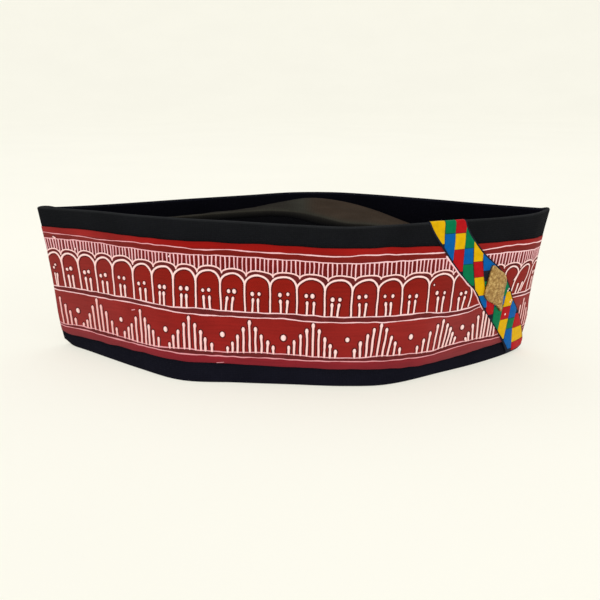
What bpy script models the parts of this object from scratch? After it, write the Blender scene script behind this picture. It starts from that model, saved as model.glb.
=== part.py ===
"""A pahadi cap standing on its lower edge, in metres with +Z up.

The band is a stiff closed loop of black cloth, pointed at both ends because the cap folds
flat.  X runs along the cap's length, -Y is the front with the ribbon, and the origin lies
on the floor under the middle.  Tables and sizes are in millimetres, turned to metres as
each mesh is made.  Every piece on the band is placed by wall_points, which turns a distance
along the loop, a height and an inset into a point in space.
"""
import math

import bpy
import numpy as np

MM = 0.001

# Middle of the cap's box on the floor, moved to the origin as each mesh is made
BOX_MIDDLE = (-0.89, 0.66, 0.0)

# The band's wall
BAND_HEIGHT = 83.0
BAND_THICKNESS = 2.6
RIM_RADIUS = BAND_THICKNESS / 2
RIM_STEPS = 6
HEM_ROUNDING = 0.5
INNER_RINGS = (0.65, 0.3)
GAP = 0.3

# Ends of the loop, x at the floor and x at the rim
LEFT_END_X = (-137.0, -143.6)
RIGHT_END_X = (133.0, 142.0)

# The band seen from above, a row for each station from the left end to the right end
PLAN = np.array([
    # share, front y at floor, front y at rim, back y at floor, back y at rim
    (0.00,  11.0,  -0.5,  11.0,  -0.5),
    (0.05,   0.8,  -5.0,  17.5,   3.0),
    (0.12, -15.4, -13.0,  25.5,  10.5),
    (0.20, -33.6, -25.8,  36.0,  22.0),
    (0.28, -49.6, -36.0,  45.0,  34.0),
    (0.40, -54.4, -47.5,  56.0,  50.5),
    (0.50, -57.0, -57.3,  61.0,  64.0),
    (0.60, -59.5, -64.0,  60.0,  63.0),
    (0.67, -58.4, -58.5,  55.5,  54.0),
    (0.80, -38.8, -44.3,  40.0,  31.0),
    (0.90, -20.6, -32.5,  24.0,  11.5),
    (0.96,  -7.0, -20.0,  12.5,   1.5),
    (1.00,   4.0,  -4.5,   4.0,  -4.5),
])
PLAN_OVERRUN = 0.08
PLAN_SAMPLES = 1600
HALF = 360
STATIONS = 2 * HALF
FOLD_SOFTNESS = 1.5
FOLD_SPREAD = 0.5
FOLD_REACH = 15
INSETS = np.arange(-5.0, 6.01, 0.5)
RING_POINTS = 96
END_BUNCHING = 0.65

# The two lower corners lift off the floor, left then right, and the lift fades up the wall
CORNER_LIFT = (3.0, 1.5)
CORNER_REACH = 5.0
LIFT_FADE = 8

# The red panel's edges, a row for each place along the loop
PANEL_THICKNESS = 1.0
PANEL_PROUD = 0.3
PANEL_RINGS = 3
PANEL_EDGES = np.array([
    # distance along the loop, lower edge, upper edge
    (0.0,    7.2, 72.0),
    (30.0,   8.5, 72.1),
    (90.0,  10.2, 72.1),
    (150.0,  9.6, 72.8),
    (200.0,  9.0, 72.5),
    (233.0,  7.1, 70.5),
    (270.0,  9.0, 69.8),
    (311.0,  9.0, 68.0),
    (460.0,  9.5, 71.0),
    (616.0,  7.2, 72.0),
])

# The crown: its side lines the band and leans in to the seam of the top panel
CROWN_THICKNESS = 1.2
CROWN_INSET = BAND_THICKNESS + GAP
CROWN_FOOT = 0.4
CROWN_FOLD_HEIGHT = 36.0
CROWN_SHOULDER = 20.0
CROWN_LEAN_RINGS = 6
CROWN_BELLY = 1.0
CROWN_TOP_ROWS = 7
CROWN_TOP_COLUMNS = 31
CROWN_SEAM = np.array([
    # x, front y, front z, back y, back z
    (-106.0,  -1.0, 65.0,   4.0, 65.0),
    (-80.0,  -18.0, 78.5,  14.0, 72.0),
    (-54.0,  -17.0, 81.3,  23.0, 74.8),
    (-30.0,   -4.0, 81.4,  31.0, 77.0),
    (-9.0,     2.0, 81.3,  36.0, 81.2),
    (8.0,      0.0, 80.4,  38.0, 82.9),
    (27.0,   -18.0, 78.3,  37.0, 81.5),
    (45.0,   -29.0, 75.6,  33.0, 77.4),
    (66.0,   -27.0, 71.0,  24.0, 70.5),
    (88.0,   -16.0, 65.0,  11.0, 65.0),
    (108.0,   -5.0, 61.0,   1.0, 61.0),
])

# The patchwork ribbon, laid slantwise over the band and folded over its rim
RIBBON_THICKNESS = 1.0
RIBBON_OFFSET = PANEL_PROUD + GAP
RIBBON_HEM = 1.0
RIBBON_TUCK = 7.0
RIBBON_ROWS = (26, 6, 3)
RIBBON_COLUMNS = 17
RIBBON_EDGES = np.array([
    # height on the unrolled wall, left edge, right edge along the loop
    (1.0,  290.4, 313.0),
    (14.0, 280.2, 303.2),
    (30.0, 265.8, 290.0),
    (36.5, 260.4, 284.3),
    (43.0, 256.2, 280.4),
    (52.0, 246.9, 273.2),
    (66.0, 234.1, 256.2),
    (83.0, 222.0, 244.1),
    (87.0, 220.4, 243.2),
    (96.0, 214.6, 237.2),
])

# The brooch, outlined on the unrolled wall about its middle
BROOCH_CENTRE = (266.6, 44.4)
BROOCH_OFFSET = RIBBON_OFFSET + RIBBON_THICKNESS + GAP
BROOCH_EDGE = 0.8
BROOCH_CROWN = 1.0
BROOCH_DOME = ((0.35, 1.0), (0.7, 0.75), (0.93, 0.3), (1.0, 0.0))
BROOCH_BACK = (1.0, 0.5)
BROOCH_FINENESS = 3
BROOCH_OUTLINE = np.array([
    # along the loop, up
    (-4.6,  13.0),
    (-6.6,   8.0),
    (-7.3,   2.0),
    (-7.0,  -3.2),
    (-2.2,  -6.8),
    (2.4,  -10.0),
    (7.9,  -13.8),
    (6.7,   -8.4),
    (6.5,   -3.6),
    (6.3,    1.6),
    (4.2,    6.6),
    (-0.2,  10.4),
])

SHARP_ANGLE = math.radians(40.0)


def spline(x, knots, values):
    """Smooth curve through the knots, straight beyond both ends."""
    slopes = np.gradient(values, knots)
    k = np.clip(np.searchsorted(knots, x) - 1, 0, len(knots) - 2)
    step = knots[k + 1] - knots[k]
    u = np.clip((x - knots[k]) / step, 0.0, 1.0)
    start = values[k] * (1 + 2 * u) * (1 - u) ** 2 + step * slopes[k] * u * (1 - u) ** 2
    end = values[k + 1] * (3 - 2 * u) * u ** 2 - step * slopes[k + 1] * (1 - u) * u ** 2
    before = np.minimum(x - knots[0], 0.0) * slopes[0]
    after = np.maximum(x - knots[-1], 0.0) * slopes[-1]
    return start + end + before + after


def soften(loop, inset):
    """Round the pointed ends by averaging neighbours, more for layers outside the band."""
    softness = FOLD_SOFTNESS + FOLD_SPREAD * max(-inset, 0.0)
    reach = np.arange(-FOLD_REACH, FOLD_REACH + 1)
    weights = np.exp(-(reach / softness) ** 2 / 2)
    weights /= weights.sum()
    return sum(w * np.roll(loop, k, axis=0) for k, w in zip(reach, weights))


def plan_loop(level, inset):
    """Closed plan curve at the floor (level 0) or the rim (level 1), moved inward by inset."""
    share = np.linspace(-PLAN_OVERRUN, 1 + PLAN_OVERRUN, PLAN_SAMPLES)
    x = LEFT_END_X[level] + (RIGHT_END_X[level] - LEFT_END_X[level]) * share
    front = spline(share, PLAN[:, 0], PLAN[:, 1 + level])
    back = spline(share, PLAN[:, 0], PLAN[:, 3 + level])
    front = front + inset * np.hypot(1.0, np.gradient(front, x))
    back = back - inset * np.hypot(1.0, np.gradient(back, x))
    width = back - front
    inside = np.nonzero(width > 0.0)[0]
    first, last = inside[0], inside[-1]
    left = np.interp(0.0, width[first - 1:first + 1], x[first - 1:first + 1])
    right = np.interp(0.0, -width[last:last + 2], x[last:last + 2])
    along = np.linspace(left, right, HALF + 1)
    out = np.stack([along, np.interp(along, x, front)], axis=1)
    home = np.stack([along, np.interp(along, x, back)], axis=1)[::-1]
    return soften(np.concatenate([out[:-1], home[:-1]]), inset)


def closed(loop):
    """The loop with its first point repeated at the end."""
    return np.concatenate([loop, loop[:1]])


LOOPS = np.array([[closed(plan_loop(level, inset)) for inset in INSETS] for level in (0, 1)])
MID_LOOP = (closed(plan_loop(0, 0.0)) + closed(plan_loop(1, 0.0))) / 2
ARC = np.concatenate([[0.0], np.cumsum(np.hypot(*np.diff(MID_LOOP, axis=0).T))])
LOOP_LENGTH = ARC[-1]
RIGHT_FOLD = ARC[HALF]


def corner_lift(arc):
    """How far the hem rises from the floor near the two folded ends."""
    from_left = np.minimum(arc, LOOP_LENGTH - arc)
    from_right = np.abs(arc - RIGHT_FOLD)
    left = CORNER_LIFT[0] * np.exp(-(from_left / CORNER_REACH) ** 2)
    right = CORNER_LIFT[1] * np.exp(-(from_right / CORNER_REACH) ** 2)
    return left + right


def wall_points(arc, height, inset):
    """Points on the band: distance along the loop, height, and depth inside its face."""
    arc, height, inset = np.broadcast_arrays(np.mod(arc, LOOP_LENGTH), height, inset)
    station = np.interp(arc, ARC, np.arange(STATIONS + 1.0))
    i = np.minimum(station.astype(int), STATIONS - 1)
    u = (station - i)[..., None]
    depth = (inset - INSETS[0]) / (INSETS[1] - INSETS[0])
    j = np.clip(depth.astype(int), 0, len(INSETS) - 2)
    v = (depth - j)[..., None]
    near = LOOPS[:, j, i] * (1 - u) + LOOPS[:, j, i + 1] * u
    far = LOOPS[:, j + 1, i] * (1 - u) + LOOPS[:, j + 1, i + 1] * u
    low, high = near * (1 - v) + far * v
    share = (height / BAND_HEIGHT)[..., None]
    xy = low * (1 - share) + high * share
    lift = corner_lift(arc) * (1 - np.clip(share[..., 0], 0.0, 1.0)) ** LIFT_FADE
    return np.concatenate([xy, (height + lift)[..., None]], axis=-1)


def around():
    """Distances along the loop for a ring of points, closer together at the folded ends."""
    turn = np.arange(RING_POINTS) / RING_POINTS
    bunched = turn - END_BUNCHING * np.sin(4 * math.pi * turn) / (4 * math.pi)
    return np.interp(bunched, np.arange(STATIONS + 1) / STATIONS, ARC)


def panel_edge(arc, column):
    """Height of the red panel's lower (column 1) or upper (column 2) edge."""
    return spline(np.mod(arc, LOOP_LENGTH), PANEL_EDGES[:, 0], PANEL_EDGES[:, column])


def grid_faces(rows, columns, close_rows, close_columns):
    """Quads over a grid of points, joined round where a direction is closed."""
    faces = []
    for r in range(rows if close_rows else rows - 1):
        for c in range(columns if close_columns else columns - 1):
            r2, c2 = (r + 1) % rows, (c + 1) % columns
            faces.append((r * columns + c, r * columns + c2, r2 * columns + c2, r2 * columns + c))
    return faces


def new_object(name, points, faces, colour, roughness, metallic=0.0):
    """Mesh object in the cap's collection, from points in millimetres."""
    mesh = bpy.data.meshes.new(name)
    metres = (np.reshape(points, (-1, 3)) - BOX_MIDDLE) * MM
    mesh.from_pydata(metres.tolist(), [], faces)
    mesh.validate()
    mesh.shade_smooth()
    mesh.set_sharp_from_angle(angle=SHARP_ANGLE)
    mesh.materials.append(plain_material(name, colour, roughness, metallic))
    obj = bpy.data.objects.new(name, mesh)
    CAP.objects.link(obj)
    return obj


def split_quads(obj):
    """Split every quad along its shorter diagonal, so that layers that nest stay parallel."""
    triangulate = obj.modifiers.new("split", "TRIANGULATE")
    triangulate.quad_method = "SHORTEST_DIAGONAL"


def plain_material(name, colour, roughness, metallic):
    """Principled material from a hex colour in sRGB."""
    channels = [int(colour[i:i + 2], 16) / 255 for i in (0, 2, 4)]
    linear = [c / 12.92 if c <= 0.04045 else ((c + 0.055) / 1.055) ** 2.4 for c in channels]
    material = bpy.data.materials.new(name)
    material.use_nodes = True
    shader = material.node_tree.nodes["Principled BSDF"]
    shader.inputs["Base Color"].default_value = (*linear, 1.0)
    shader.inputs["Roughness"].default_value = roughness
    shader.inputs["Metallic"].default_value = metallic
    return material


def thicken(obj, thickness):
    """Give an open sheet its cloth thickness, behind its outward face."""
    solidify = obj.modifiers.new("cloth", "SOLIDIFY")
    solidify.thickness = thickness * MM
    solidify.offset = -1.0
    solidify.use_even_offset = True
    solidify.use_rim = True


def make_band():
    """The wall as a closed section swept round the loop, recessed where the panel lies."""
    arc = around()
    low, high = panel_edge(arc, 1), panel_edge(arc, 2)
    recess = PANEL_THICKNESS - PANEL_PROUD + GAP
    section = [(0.0, HEM_ROUNDING), (HEM_ROUNDING, 0.0), (low, 0.0)]
    section += [(low + (high - low) * v, recess) for v in np.linspace(0.0, 1.0, PANEL_RINGS)]
    section += [(high, 0.0)]
    for turn in np.linspace(0.0, math.pi, RIM_STEPS):
        rise = BAND_HEIGHT - RIM_RADIUS + RIM_RADIUS * math.sin(turn)
        section.append((rise, RIM_RADIUS - RIM_RADIUS * math.cos(turn)))
    section += [(BAND_HEIGHT * share, BAND_THICKNESS) for share in INNER_RINGS]
    section += [(HEM_ROUNDING, BAND_THICKNESS), (0.0, BAND_THICKNESS - HEM_ROUNDING)]
    rings = [wall_points(arc, height, inset) for height, inset in section]
    faces = grid_faces(len(rings), len(arc), True, True)
    return new_object("band", rings, faces, "18191b", 0.9)


def make_painted_panel():
    """Red cloth let into the band's face, standing just proud of it."""
    arc = around()
    low, high = panel_edge(arc, 1) + GAP, panel_edge(arc, 2) - GAP
    heights = [low + (high - low) * v for v in np.linspace(0.0, 1.0, PANEL_RINGS)]
    section = [(height, -PANEL_PROUD) for height in heights]
    section += [(height, PANEL_THICKNESS - PANEL_PROUD) for height in reversed(heights)]
    rings = [wall_points(arc, height, inset) for height, inset in section]
    faces = grid_faces(len(rings), len(arc), True, True)
    return new_object("painted_panel", rings, faces, "8d2017", 0.75)


def seam_points(share, back):
    """The crown's seam: share of its length from the left, on the front or back side."""
    x = np.interp(share, (0.0, 1.0), CROWN_SEAM[[0, -1], 0])
    front_y, front_z, back_y, back_z = (spline(x, CROWN_SEAM[:, 0], CROWN_SEAM[:, k])
                                        for k in (1, 2, 3, 4))
    return np.stack([x, np.where(back, back_y, front_y), np.where(back, back_z, front_z)], axis=-1)


def make_crown_side():
    """Cloth up the inside of the band, then leaning in to the seam."""
    arc = around()
    station = np.interp(arc, ARC, np.arange(STATIONS + 1.0))
    back = station > HALF
    share = np.where(back, STATIONS - station, station) / HALF
    fold = wall_points(arc, CROWN_FOLD_HEIGHT, CROWN_INSET)
    shoulder = wall_points(arc, CROWN_FOLD_HEIGHT + CROWN_SHOULDER, CROWN_INSET)
    seam = seam_points(share, back) - (0.0, 0.0, CROWN_THICKNESS + GAP)
    rings = [wall_points(arc, height, CROWN_INSET) for height in (CROWN_FOOT, CROWN_FOLD_HEIGHT / 2)]
    for v in np.linspace(0.0, 1.0, CROWN_LEAN_RINGS):
        rings.append((1 - v) ** 2 * fold + 2 * v * (1 - v) * shoulder + v ** 2 * seam)
    faces = grid_faces(len(rings), len(arc), False, True)
    side = new_object("crown_side", rings, faces, "15151a", 0.92)
    thicken(side, CROWN_THICKNESS)
    return side


def make_crown_top():
    """The top panel between the front and back seams, a little bellied."""
    share = (1 - np.cos(np.linspace(0.0, math.pi, CROWN_TOP_COLUMNS))) / 2
    front, back = seam_points(share, False), seam_points(share, True)
    rows = []
    for v in np.linspace(0.0, 1.0, CROWN_TOP_ROWS):
        row = front * (1 - v) + back * v
        row[:, 2] += CROWN_BELLY * 4 * v * (1 - v) * np.sin(math.pi * share)
        rows.append(row)
    faces = grid_faces(len(rows), len(share), False, False)
    top = new_object("crown_top", rows, faces, "3a3029", 0.85)
    thicken(top, CROWN_THICKNESS)
    return top


def over_rim(along, offset):
    """Height and inset of a sheet that climbs the wall, rounds the rim and hangs inside."""
    radius = RIM_RADIUS + offset
    turn = np.clip((along - (BAND_HEIGHT - RIM_RADIUS)) / radius, 0.0, math.pi)
    climbed = np.minimum(along, BAND_HEIGHT - RIM_RADIUS)
    hung = np.maximum(along - (BAND_HEIGHT - RIM_RADIUS) - math.pi * radius, 0.0)
    return climbed + radius * np.sin(turn) - hung, RIM_RADIUS - radius * np.cos(turn)


def make_patchwork_ribbon():
    """A strip laid slantwise on the band, folded over the rim and tucked in."""
    radius = RIM_RADIUS + RIBBON_OFFSET + RIBBON_THICKNESS
    climb, turn, hang = RIBBON_ROWS
    straight = np.linspace(RIBBON_HEM, BAND_HEIGHT - RIM_RADIUS, climb)
    rounded = straight[-1] + radius * np.linspace(0.0, math.pi, turn)[1:]
    tucked = rounded[-1] + RIBBON_TUCK * np.linspace(0.0, 1.0, hang)[1:]
    along = np.concatenate([straight, rounded, tucked])[:, None]
    left, right = (spline(along, RIBBON_EDGES[:, 0], RIBBON_EDGES[:, k]) for k in (1, 2))
    arc = left + (right - left) * np.linspace(0.0, 1.0, RIBBON_COLUMNS)[None, :]
    height, inset = over_rim(along, RIBBON_OFFSET + RIBBON_THICKNESS)
    points = wall_points(arc, height, inset)
    faces = grid_faces(*arc.shape, False, False)
    ribbon = new_object("patchwork_ribbon", points, faces, "dfad08", 0.5)
    thicken(ribbon, RIBBON_THICKNESS)
    return ribbon


def make_brooch():
    """A low domed leaf of gold, closed by a back that follows the ribbon."""
    knots = np.arange(len(BROOCH_OUTLINE) + 5.0) - 2
    wrapped = np.take(BROOCH_OUTLINE, knots.astype(int), axis=0, mode="wrap")
    turns = np.arange(0.0, len(BROOCH_OUTLINE), 1 / BROOCH_FINENESS)
    outline = np.stack([spline(turns, knots, wrapped[:, k]) for k in (0, 1)], axis=-1)[::-1]
    rows = []
    for reach, rise in BROOCH_DOME:
        spot = outline * reach + BROOCH_CENTRE
        depth = -(BROOCH_OFFSET + BROOCH_EDGE + BROOCH_CROWN * rise)
        rows.append(wall_points(spot[:, 0], spot[:, 1], depth))
    for reach in BROOCH_BACK:
        spot = outline * reach + BROOCH_CENTRE
        rows.append(wall_points(spot[:, 0], spot[:, 1], -BROOCH_OFFSET))
    count = len(outline)
    faces = grid_faces(len(rows), count, False, True)
    faces.append(tuple(reversed(range(count))))
    faces.append(tuple(range((len(rows) - 1) * count, len(rows) * count)))
    return new_object("brooch", rows, faces, "ab874e", 0.4, 0.8)


for old in list(bpy.data.objects):
    bpy.data.objects.remove(old, do_unlink=True)
CAP = bpy.data.collections.new("pahadi_cap")
bpy.context.scene.collection.children.link(CAP)

make_band()
make_painted_panel()
make_crown_side()
make_crown_top()
make_patchwork_ribbon()
make_brooch()
for piece in CAP.objects:
    split_quads(piece)
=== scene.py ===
# %% [markdown]
# A pahadi cap
#
# This is a stiff hill cap. A black cloth band stands up like a wall, pointed at both ends
# because the cap folds flat. A red cloth panel round it is painted by hand in white with
# arches and small triangles of strokes, a patchwork ribbon crosses the front slantwise,
# and a gold leaf is pinned on it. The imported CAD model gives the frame, in metres.

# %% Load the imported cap
import math

import bpy
import numpy as np
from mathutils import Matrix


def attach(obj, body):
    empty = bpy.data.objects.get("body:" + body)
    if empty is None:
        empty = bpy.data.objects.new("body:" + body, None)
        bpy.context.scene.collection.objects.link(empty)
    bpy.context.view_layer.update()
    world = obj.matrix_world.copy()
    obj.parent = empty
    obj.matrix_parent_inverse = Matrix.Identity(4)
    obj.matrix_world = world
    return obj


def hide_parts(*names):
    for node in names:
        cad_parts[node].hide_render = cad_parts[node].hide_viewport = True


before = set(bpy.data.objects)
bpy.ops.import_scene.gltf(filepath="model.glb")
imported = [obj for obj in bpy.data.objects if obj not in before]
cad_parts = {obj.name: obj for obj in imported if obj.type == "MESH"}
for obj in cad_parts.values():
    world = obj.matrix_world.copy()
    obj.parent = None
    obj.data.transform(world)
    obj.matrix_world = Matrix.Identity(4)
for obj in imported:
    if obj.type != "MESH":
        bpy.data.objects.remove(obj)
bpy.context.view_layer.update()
MM = 0.001
# The photo's frame has its origin beside the middle of the cap's box, in mm
BOX_MIDDLE = np.array([-0.89, 0.66, 0.0])

# %% [markdown]
# The camera
#
# A photo fixes where its camera stood. The cap's rim, hem and ends were measured in the
# picture, and the camera that puts a cap of this height on those places stands 45 cm in
# front of it and looks down by 15 degrees.

# %% Camera
PHOTO_WIDTH_PX = 600
FOCAL_PX = 815.8
CAMERA_AT = (4.19, -450.66, 150.9)
CAMERA_PITCH = math.radians(15.08)

camera_data = bpy.data.cameras.new("camera")
camera_data.sensor_width = 36.0
camera_data.lens = camera_data.sensor_width * FOCAL_PX / PHOTO_WIDTH_PX
camera_data.clip_start, camera_data.clip_end = 0.01, 20.0
camera = bpy.data.objects.new("camera", camera_data)
camera.location = [c * MM for c in CAMERA_AT]
camera.rotation_euler = (math.pi / 2 - CAMERA_PITCH, 0.0, 0.0)
bpy.context.scene.collection.objects.link(camera)
bpy.context.scene.camera = camera
print("lens in mm:", round(camera_data.lens, 2))

# %% [markdown]
# Backdrop and light
#
# A product photo like this one is made on pale paper that curves up behind the object, so
# no corner shows, and it is lit from behind as well, so shadows stay faint. The paper here
# is a round dish: a line that runs out over the floor and turns up through a quarter
# circle, spun round the cap, so that the ground is the same from every side.

# %% Colours and nodes
def linear(code):
    """A hex colour in sRGB as linear red, green and blue, with 1 for alpha."""
    channels = np.array([int(code[i:i + 2], 16) for i in (1, 3, 5)]) / 255
    low, high = channels / 12.92, ((channels + 0.055) / 1.055) ** 2.4
    return (*np.where(channels <= 0.04045, low, high).tolist(), 1.0)


def add_node(material, kind, values=None, links=None, stops=None, **settings):
    """Add a node: settings are its own, values and links go to its inputs, stops to its ramp."""
    node = material.node_tree.nodes.new(kind)
    for name, value in settings.items():
        setattr(node, name, value)
    for name, value in (values or {}).items():
        node.inputs[name].default_value = value
    for name, socket in (links or {}).items():
        material.node_tree.links.new(socket, node.inputs[name])
    for k, (place, colour) in enumerate(stops or []):
        ramp = node.color_ramp.elements
        stop = ramp[k] if k < 2 else ramp.new(place)
        stop.position, stop.color = place, colour
    return node


def new_material(name, roughness, specular=0.5, metallic=0.0):
    """A material with its shader's fixed values set, and the shader, for a finish to build on."""
    material = bpy.data.materials.new(name)
    material.use_nodes = True
    shader = material.node_tree.nodes["Principled BSDF"]
    shader.inputs["Roughness"].default_value = roughness
    shader.inputs["Specular IOR Level"].default_value = specular
    shader.inputs["Metallic"].default_value = metallic
    return material, shader


def feed(shader, name, socket):
    """Link a node's output socket to the shader's input of that name."""
    shader.id_data.links.new(socket, shader.inputs[name])


# %% Paper backdrop
PAPER_COLOUR = "#fbf9ed"
# The dish's profile in m: two rings of the floor, where it ends, its bend and its top
PAPER_HOLE, PAPER_RING, PAPER_REACH, PAPER_RADIUS, PAPER_TOP = 0.02, 0.5, 3.0, 1.2, 4.5
PAPER_DROP = 0.0002
PAPER_SIDES = 96
PAPER_GLOW = 0.61

paper, paper_shader = new_material("backdrop_paper", roughness=0.9, specular=0.05)
paper_fibre = add_node(paper, "ShaderNodeTexNoise", {"Scale": 40.0, "Detail": 3.0})
paper_tone = add_node(paper, "ShaderNodeValToRGB", links={"Fac": paper_fibre.outputs["Fac"]},
                      stops=[(0.3, linear("#a6a59f")), (0.7, linear("#a9a8a2"))])
feed(paper_shader, "Base Color", paper_tone.outputs["Color"])
paper_shader.inputs["Emission Color"].default_value = linear(PAPER_COLOUR)
paper_shader.inputs["Emission Strength"].default_value = PAPER_GLOW

turn = np.linspace(0.0, math.pi / 2, 17)
profile_r = np.concatenate([[PAPER_HOLE, PAPER_RING],
                            PAPER_REACH + PAPER_RADIUS * np.sin(turn),
                            [PAPER_REACH + PAPER_RADIUS]])
profile_z = np.concatenate([[0.0, 0.0], PAPER_RADIUS * (1 - np.cos(turn)), [PAPER_TOP]])
spin = np.linspace(0.0, 2 * math.pi, PAPER_SIDES, endpoint=False)
sweep = np.stack([profile_r[:, None] * np.cos(spin), profile_r[:, None] * np.sin(spin),
                  np.broadcast_to(profile_z[:, None] - PAPER_DROP,
                                  (len(profile_z), PAPER_SIDES))], -1)
ring_start = np.arange(len(profile_z) - 1)[:, None] * PAPER_SIDES
around, beside = np.arange(PAPER_SIDES), (np.arange(PAPER_SIDES) + 1) % PAPER_SIDES
paper_quads = np.stack([ring_start + around, ring_start + beside,
                        ring_start + PAPER_SIDES + beside,
                        ring_start + PAPER_SIDES + around], axis=-1).reshape(-1, 4)
backdrop_mesh = bpy.data.meshes.new("backdrop")
backdrop_mesh.from_pydata(sweep.reshape(-1, 3).tolist(), [],
                          [*paper_quads[:, ::-1].tolist(), tuple(range(PAPER_SIDES))])
backdrop_mesh.shade_smooth()
backdrop_mesh.materials.append(paper)
backdrop = bpy.data.objects.new("backdrop", backdrop_mesh)
bpy.context.scene.collection.objects.link(backdrop)

# %% Soft lights
WORLD_COLOUR, WORLD_STRENGTH = "#f6f8fe", 0.85
LIGHTS = (
    # name, place in m, size in m, watts
    ("key_softbox", (-0.9, -1.3, 1.5), 1.4, 5.0),
    ("fill_softbox", (1.2, -1.1, 0.9), 1.4, 3.0),
    ("top_softbox", (0.0, 0.5, 1.7), 1.6, 3.0),
)
world = bpy.data.worlds.new("studio")
world.use_nodes = True
world.node_tree.nodes["Background"].inputs["Color"].default_value = linear(WORLD_COLOUR)
world.node_tree.nodes["Background"].inputs["Strength"].default_value = WORLD_STRENGTH
bpy.context.scene.world = world
bpy.context.scene.view_settings.view_transform = "Standard"
for light_name, place, size, watts in LIGHTS:
    lamp_data = bpy.data.lights.new(light_name, "AREA")
    lamp_data.size, lamp_data.energy = size, watts
    lamp = bpy.data.objects.new(light_name, lamp_data)
    lamp.location = place
    lamp.rotation_mode = "QUATERNION"
    lamp.rotation_quaternion = (-lamp.location).to_track_quat("-Z", "Y")
    bpy.context.scene.collection.objects.link(lamp)
print("lights:", len(LIGHTS))

# %% [markdown]
# The wall of the band as a map
#
# Everything on the band is placed on one map of its wall, as a cap maker marks the flat
# strip before it is closed: a distance along the loop from the left end, a height, and a
# depth inside the face, in mm. The loop seen from above is a table for the floor and one
# for the rim, with smooth curves between the rows. The cloth rounds a little at the folds,
# so each loop is softened by averaging neighbours.

# %% Wall table
BAND_HEIGHT, BAND_THICKNESS = 83.0, 2.6
LEFT_END_X, RIGHT_END_X = (-137.0, -143.6), (133.0, 142.0)
PLAN = np.array([
    # share, front y at floor, front y at rim, back y at floor, back y at rim
    (0.00, 11.0, -0.5, 11.0, -0.5), (0.05, 0.8, -5.0, 17.5, 3.0),
    (0.12, -15.4, -13.0, 25.5, 10.5), (0.20, -33.6, -25.8, 36.0, 22.0),
    (0.28, -49.6, -36.0, 45.0, 34.0), (0.40, -54.4, -47.5, 56.0, 50.5),
    (0.50, -57.0, -57.3, 61.0, 64.0), (0.60, -59.5, -64.0, 60.0, 63.0),
    (0.67, -58.4, -58.5, 55.5, 54.0), (0.80, -38.8, -44.3, 40.0, 31.0),
    (0.90, -20.6, -32.5, 24.0, 11.5), (0.96, -7.0, -20.0, 12.5, 1.5),
    (1.00, 4.0, -4.5, 4.0, -4.5),
])
PLAN_OVERRUN, PLAN_SAMPLES = 0.08, 1600
HALF = 360
STATIONS = 2 * HALF
FOLD_SOFTNESS, FOLD_SPREAD, FOLD_REACH = 1.5, 0.5, 15
INSETS = np.arange(-5.0, 6.01, 0.5)
# At the left and right fold the hem's corner lifts off the floor and the rim's stands up, by
# so many mm, over so many mm along the loop, with the power at which that fades with height
CORNER_LIFT, CORNER_REACH, CORNER_FADE = (3.0, 1.5), 5.0, 8
EAR_LIFT, EAR_REACH, EAR_FADE = (0.9, 0.7), 2.6, 14
# The folded ends bow inward between hem and rim: height, left end, right end
END_BOW = np.array([(0.0, 0.0, 0.9), (10.0, -0.3, 0.7), (20.0, -0.2, 0.1), (30.0, 0.4, 1.3),
                    (44.0, 1.0, 1.6), (60.0, 1.2, 1.6), (72.0, 0.7, 1.3), (83.0, 0.2, 0.5)])
BOW_REACH = 11.0


def spline(x, knots, values):
    """Smooth curve through the knots, with each slope taken from its neighbours."""
    slopes = np.gradient(values, knots)
    k = np.clip(np.searchsorted(knots, x) - 1, 0, len(knots) - 2)
    step = knots[k + 1] - knots[k]
    u = np.clip((x - knots[k]) / step, 0.0, 1.0)
    start = values[k] * (1 + 2 * u) * (1 - u) ** 2 + step * slopes[k] * u * (1 - u) ** 2
    end = values[k + 1] * (3 - 2 * u) * u ** 2 - step * slopes[k + 1] * (1 - u) * u ** 2
    before = np.minimum(x - knots[0], 0.0) * slopes[0]
    after = np.maximum(x - knots[-1], 0.0) * slopes[-1]
    return start + end + before + after


def plan_loop(level, inset):
    """Loop at the floor (level 0) or rim (1): both side curves moved inward, closed, softened."""
    share = np.linspace(-PLAN_OVERRUN, 1 + PLAN_OVERRUN, PLAN_SAMPLES)
    x = LEFT_END_X[level] + (RIGHT_END_X[level] - LEFT_END_X[level]) * share
    front = spline(share, PLAN[:, 0], PLAN[:, 1 + level])
    back = spline(share, PLAN[:, 0], PLAN[:, 3 + level])
    front = front + inset * np.hypot(1.0, np.gradient(front, x))
    back = back - inset * np.hypot(1.0, np.gradient(back, x))
    width = back - front
    inside = np.nonzero(width > 0.0)[0]
    first, last = inside[0], inside[-1]
    left = np.interp(0.0, width[first - 1:first + 1], x[first - 1:first + 1])
    right = np.interp(0.0, -width[last:last + 2], x[last:last + 2])
    along = np.linspace(left, right, HALF + 1)
    out = np.stack([along, np.interp(along, x, front)], axis=1)
    home = np.stack([along, np.interp(along, x, back)], axis=1)[::-1]
    loop = np.concatenate([out[:-1], home[:-1]])
    reach = np.arange(-FOLD_REACH, FOLD_REACH + 1)
    weights = np.exp(-(reach / (FOLD_SOFTNESS + FOLD_SPREAD * max(-inset, 0.0))) ** 2 / 2)
    soft = sum(w * np.roll(loop, k, axis=0) for k, w in zip(reach, weights / weights.sum()))
    return np.concatenate([soft, soft[:1]])


LOOPS = np.array([[plan_loop(level, inset) for inset in INSETS] for level in (0, 1)])
MID_LOOP = (plan_loop(0, 0.0) + plan_loop(1, 0.0)) / 2
ARC = np.concatenate([[0.0], np.cumsum(np.hypot(*np.diff(MID_LOOP, axis=0).T))])
LOOP_LENGTH, RIGHT_FOLD = ARC[-1], ARC[HALF]


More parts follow.
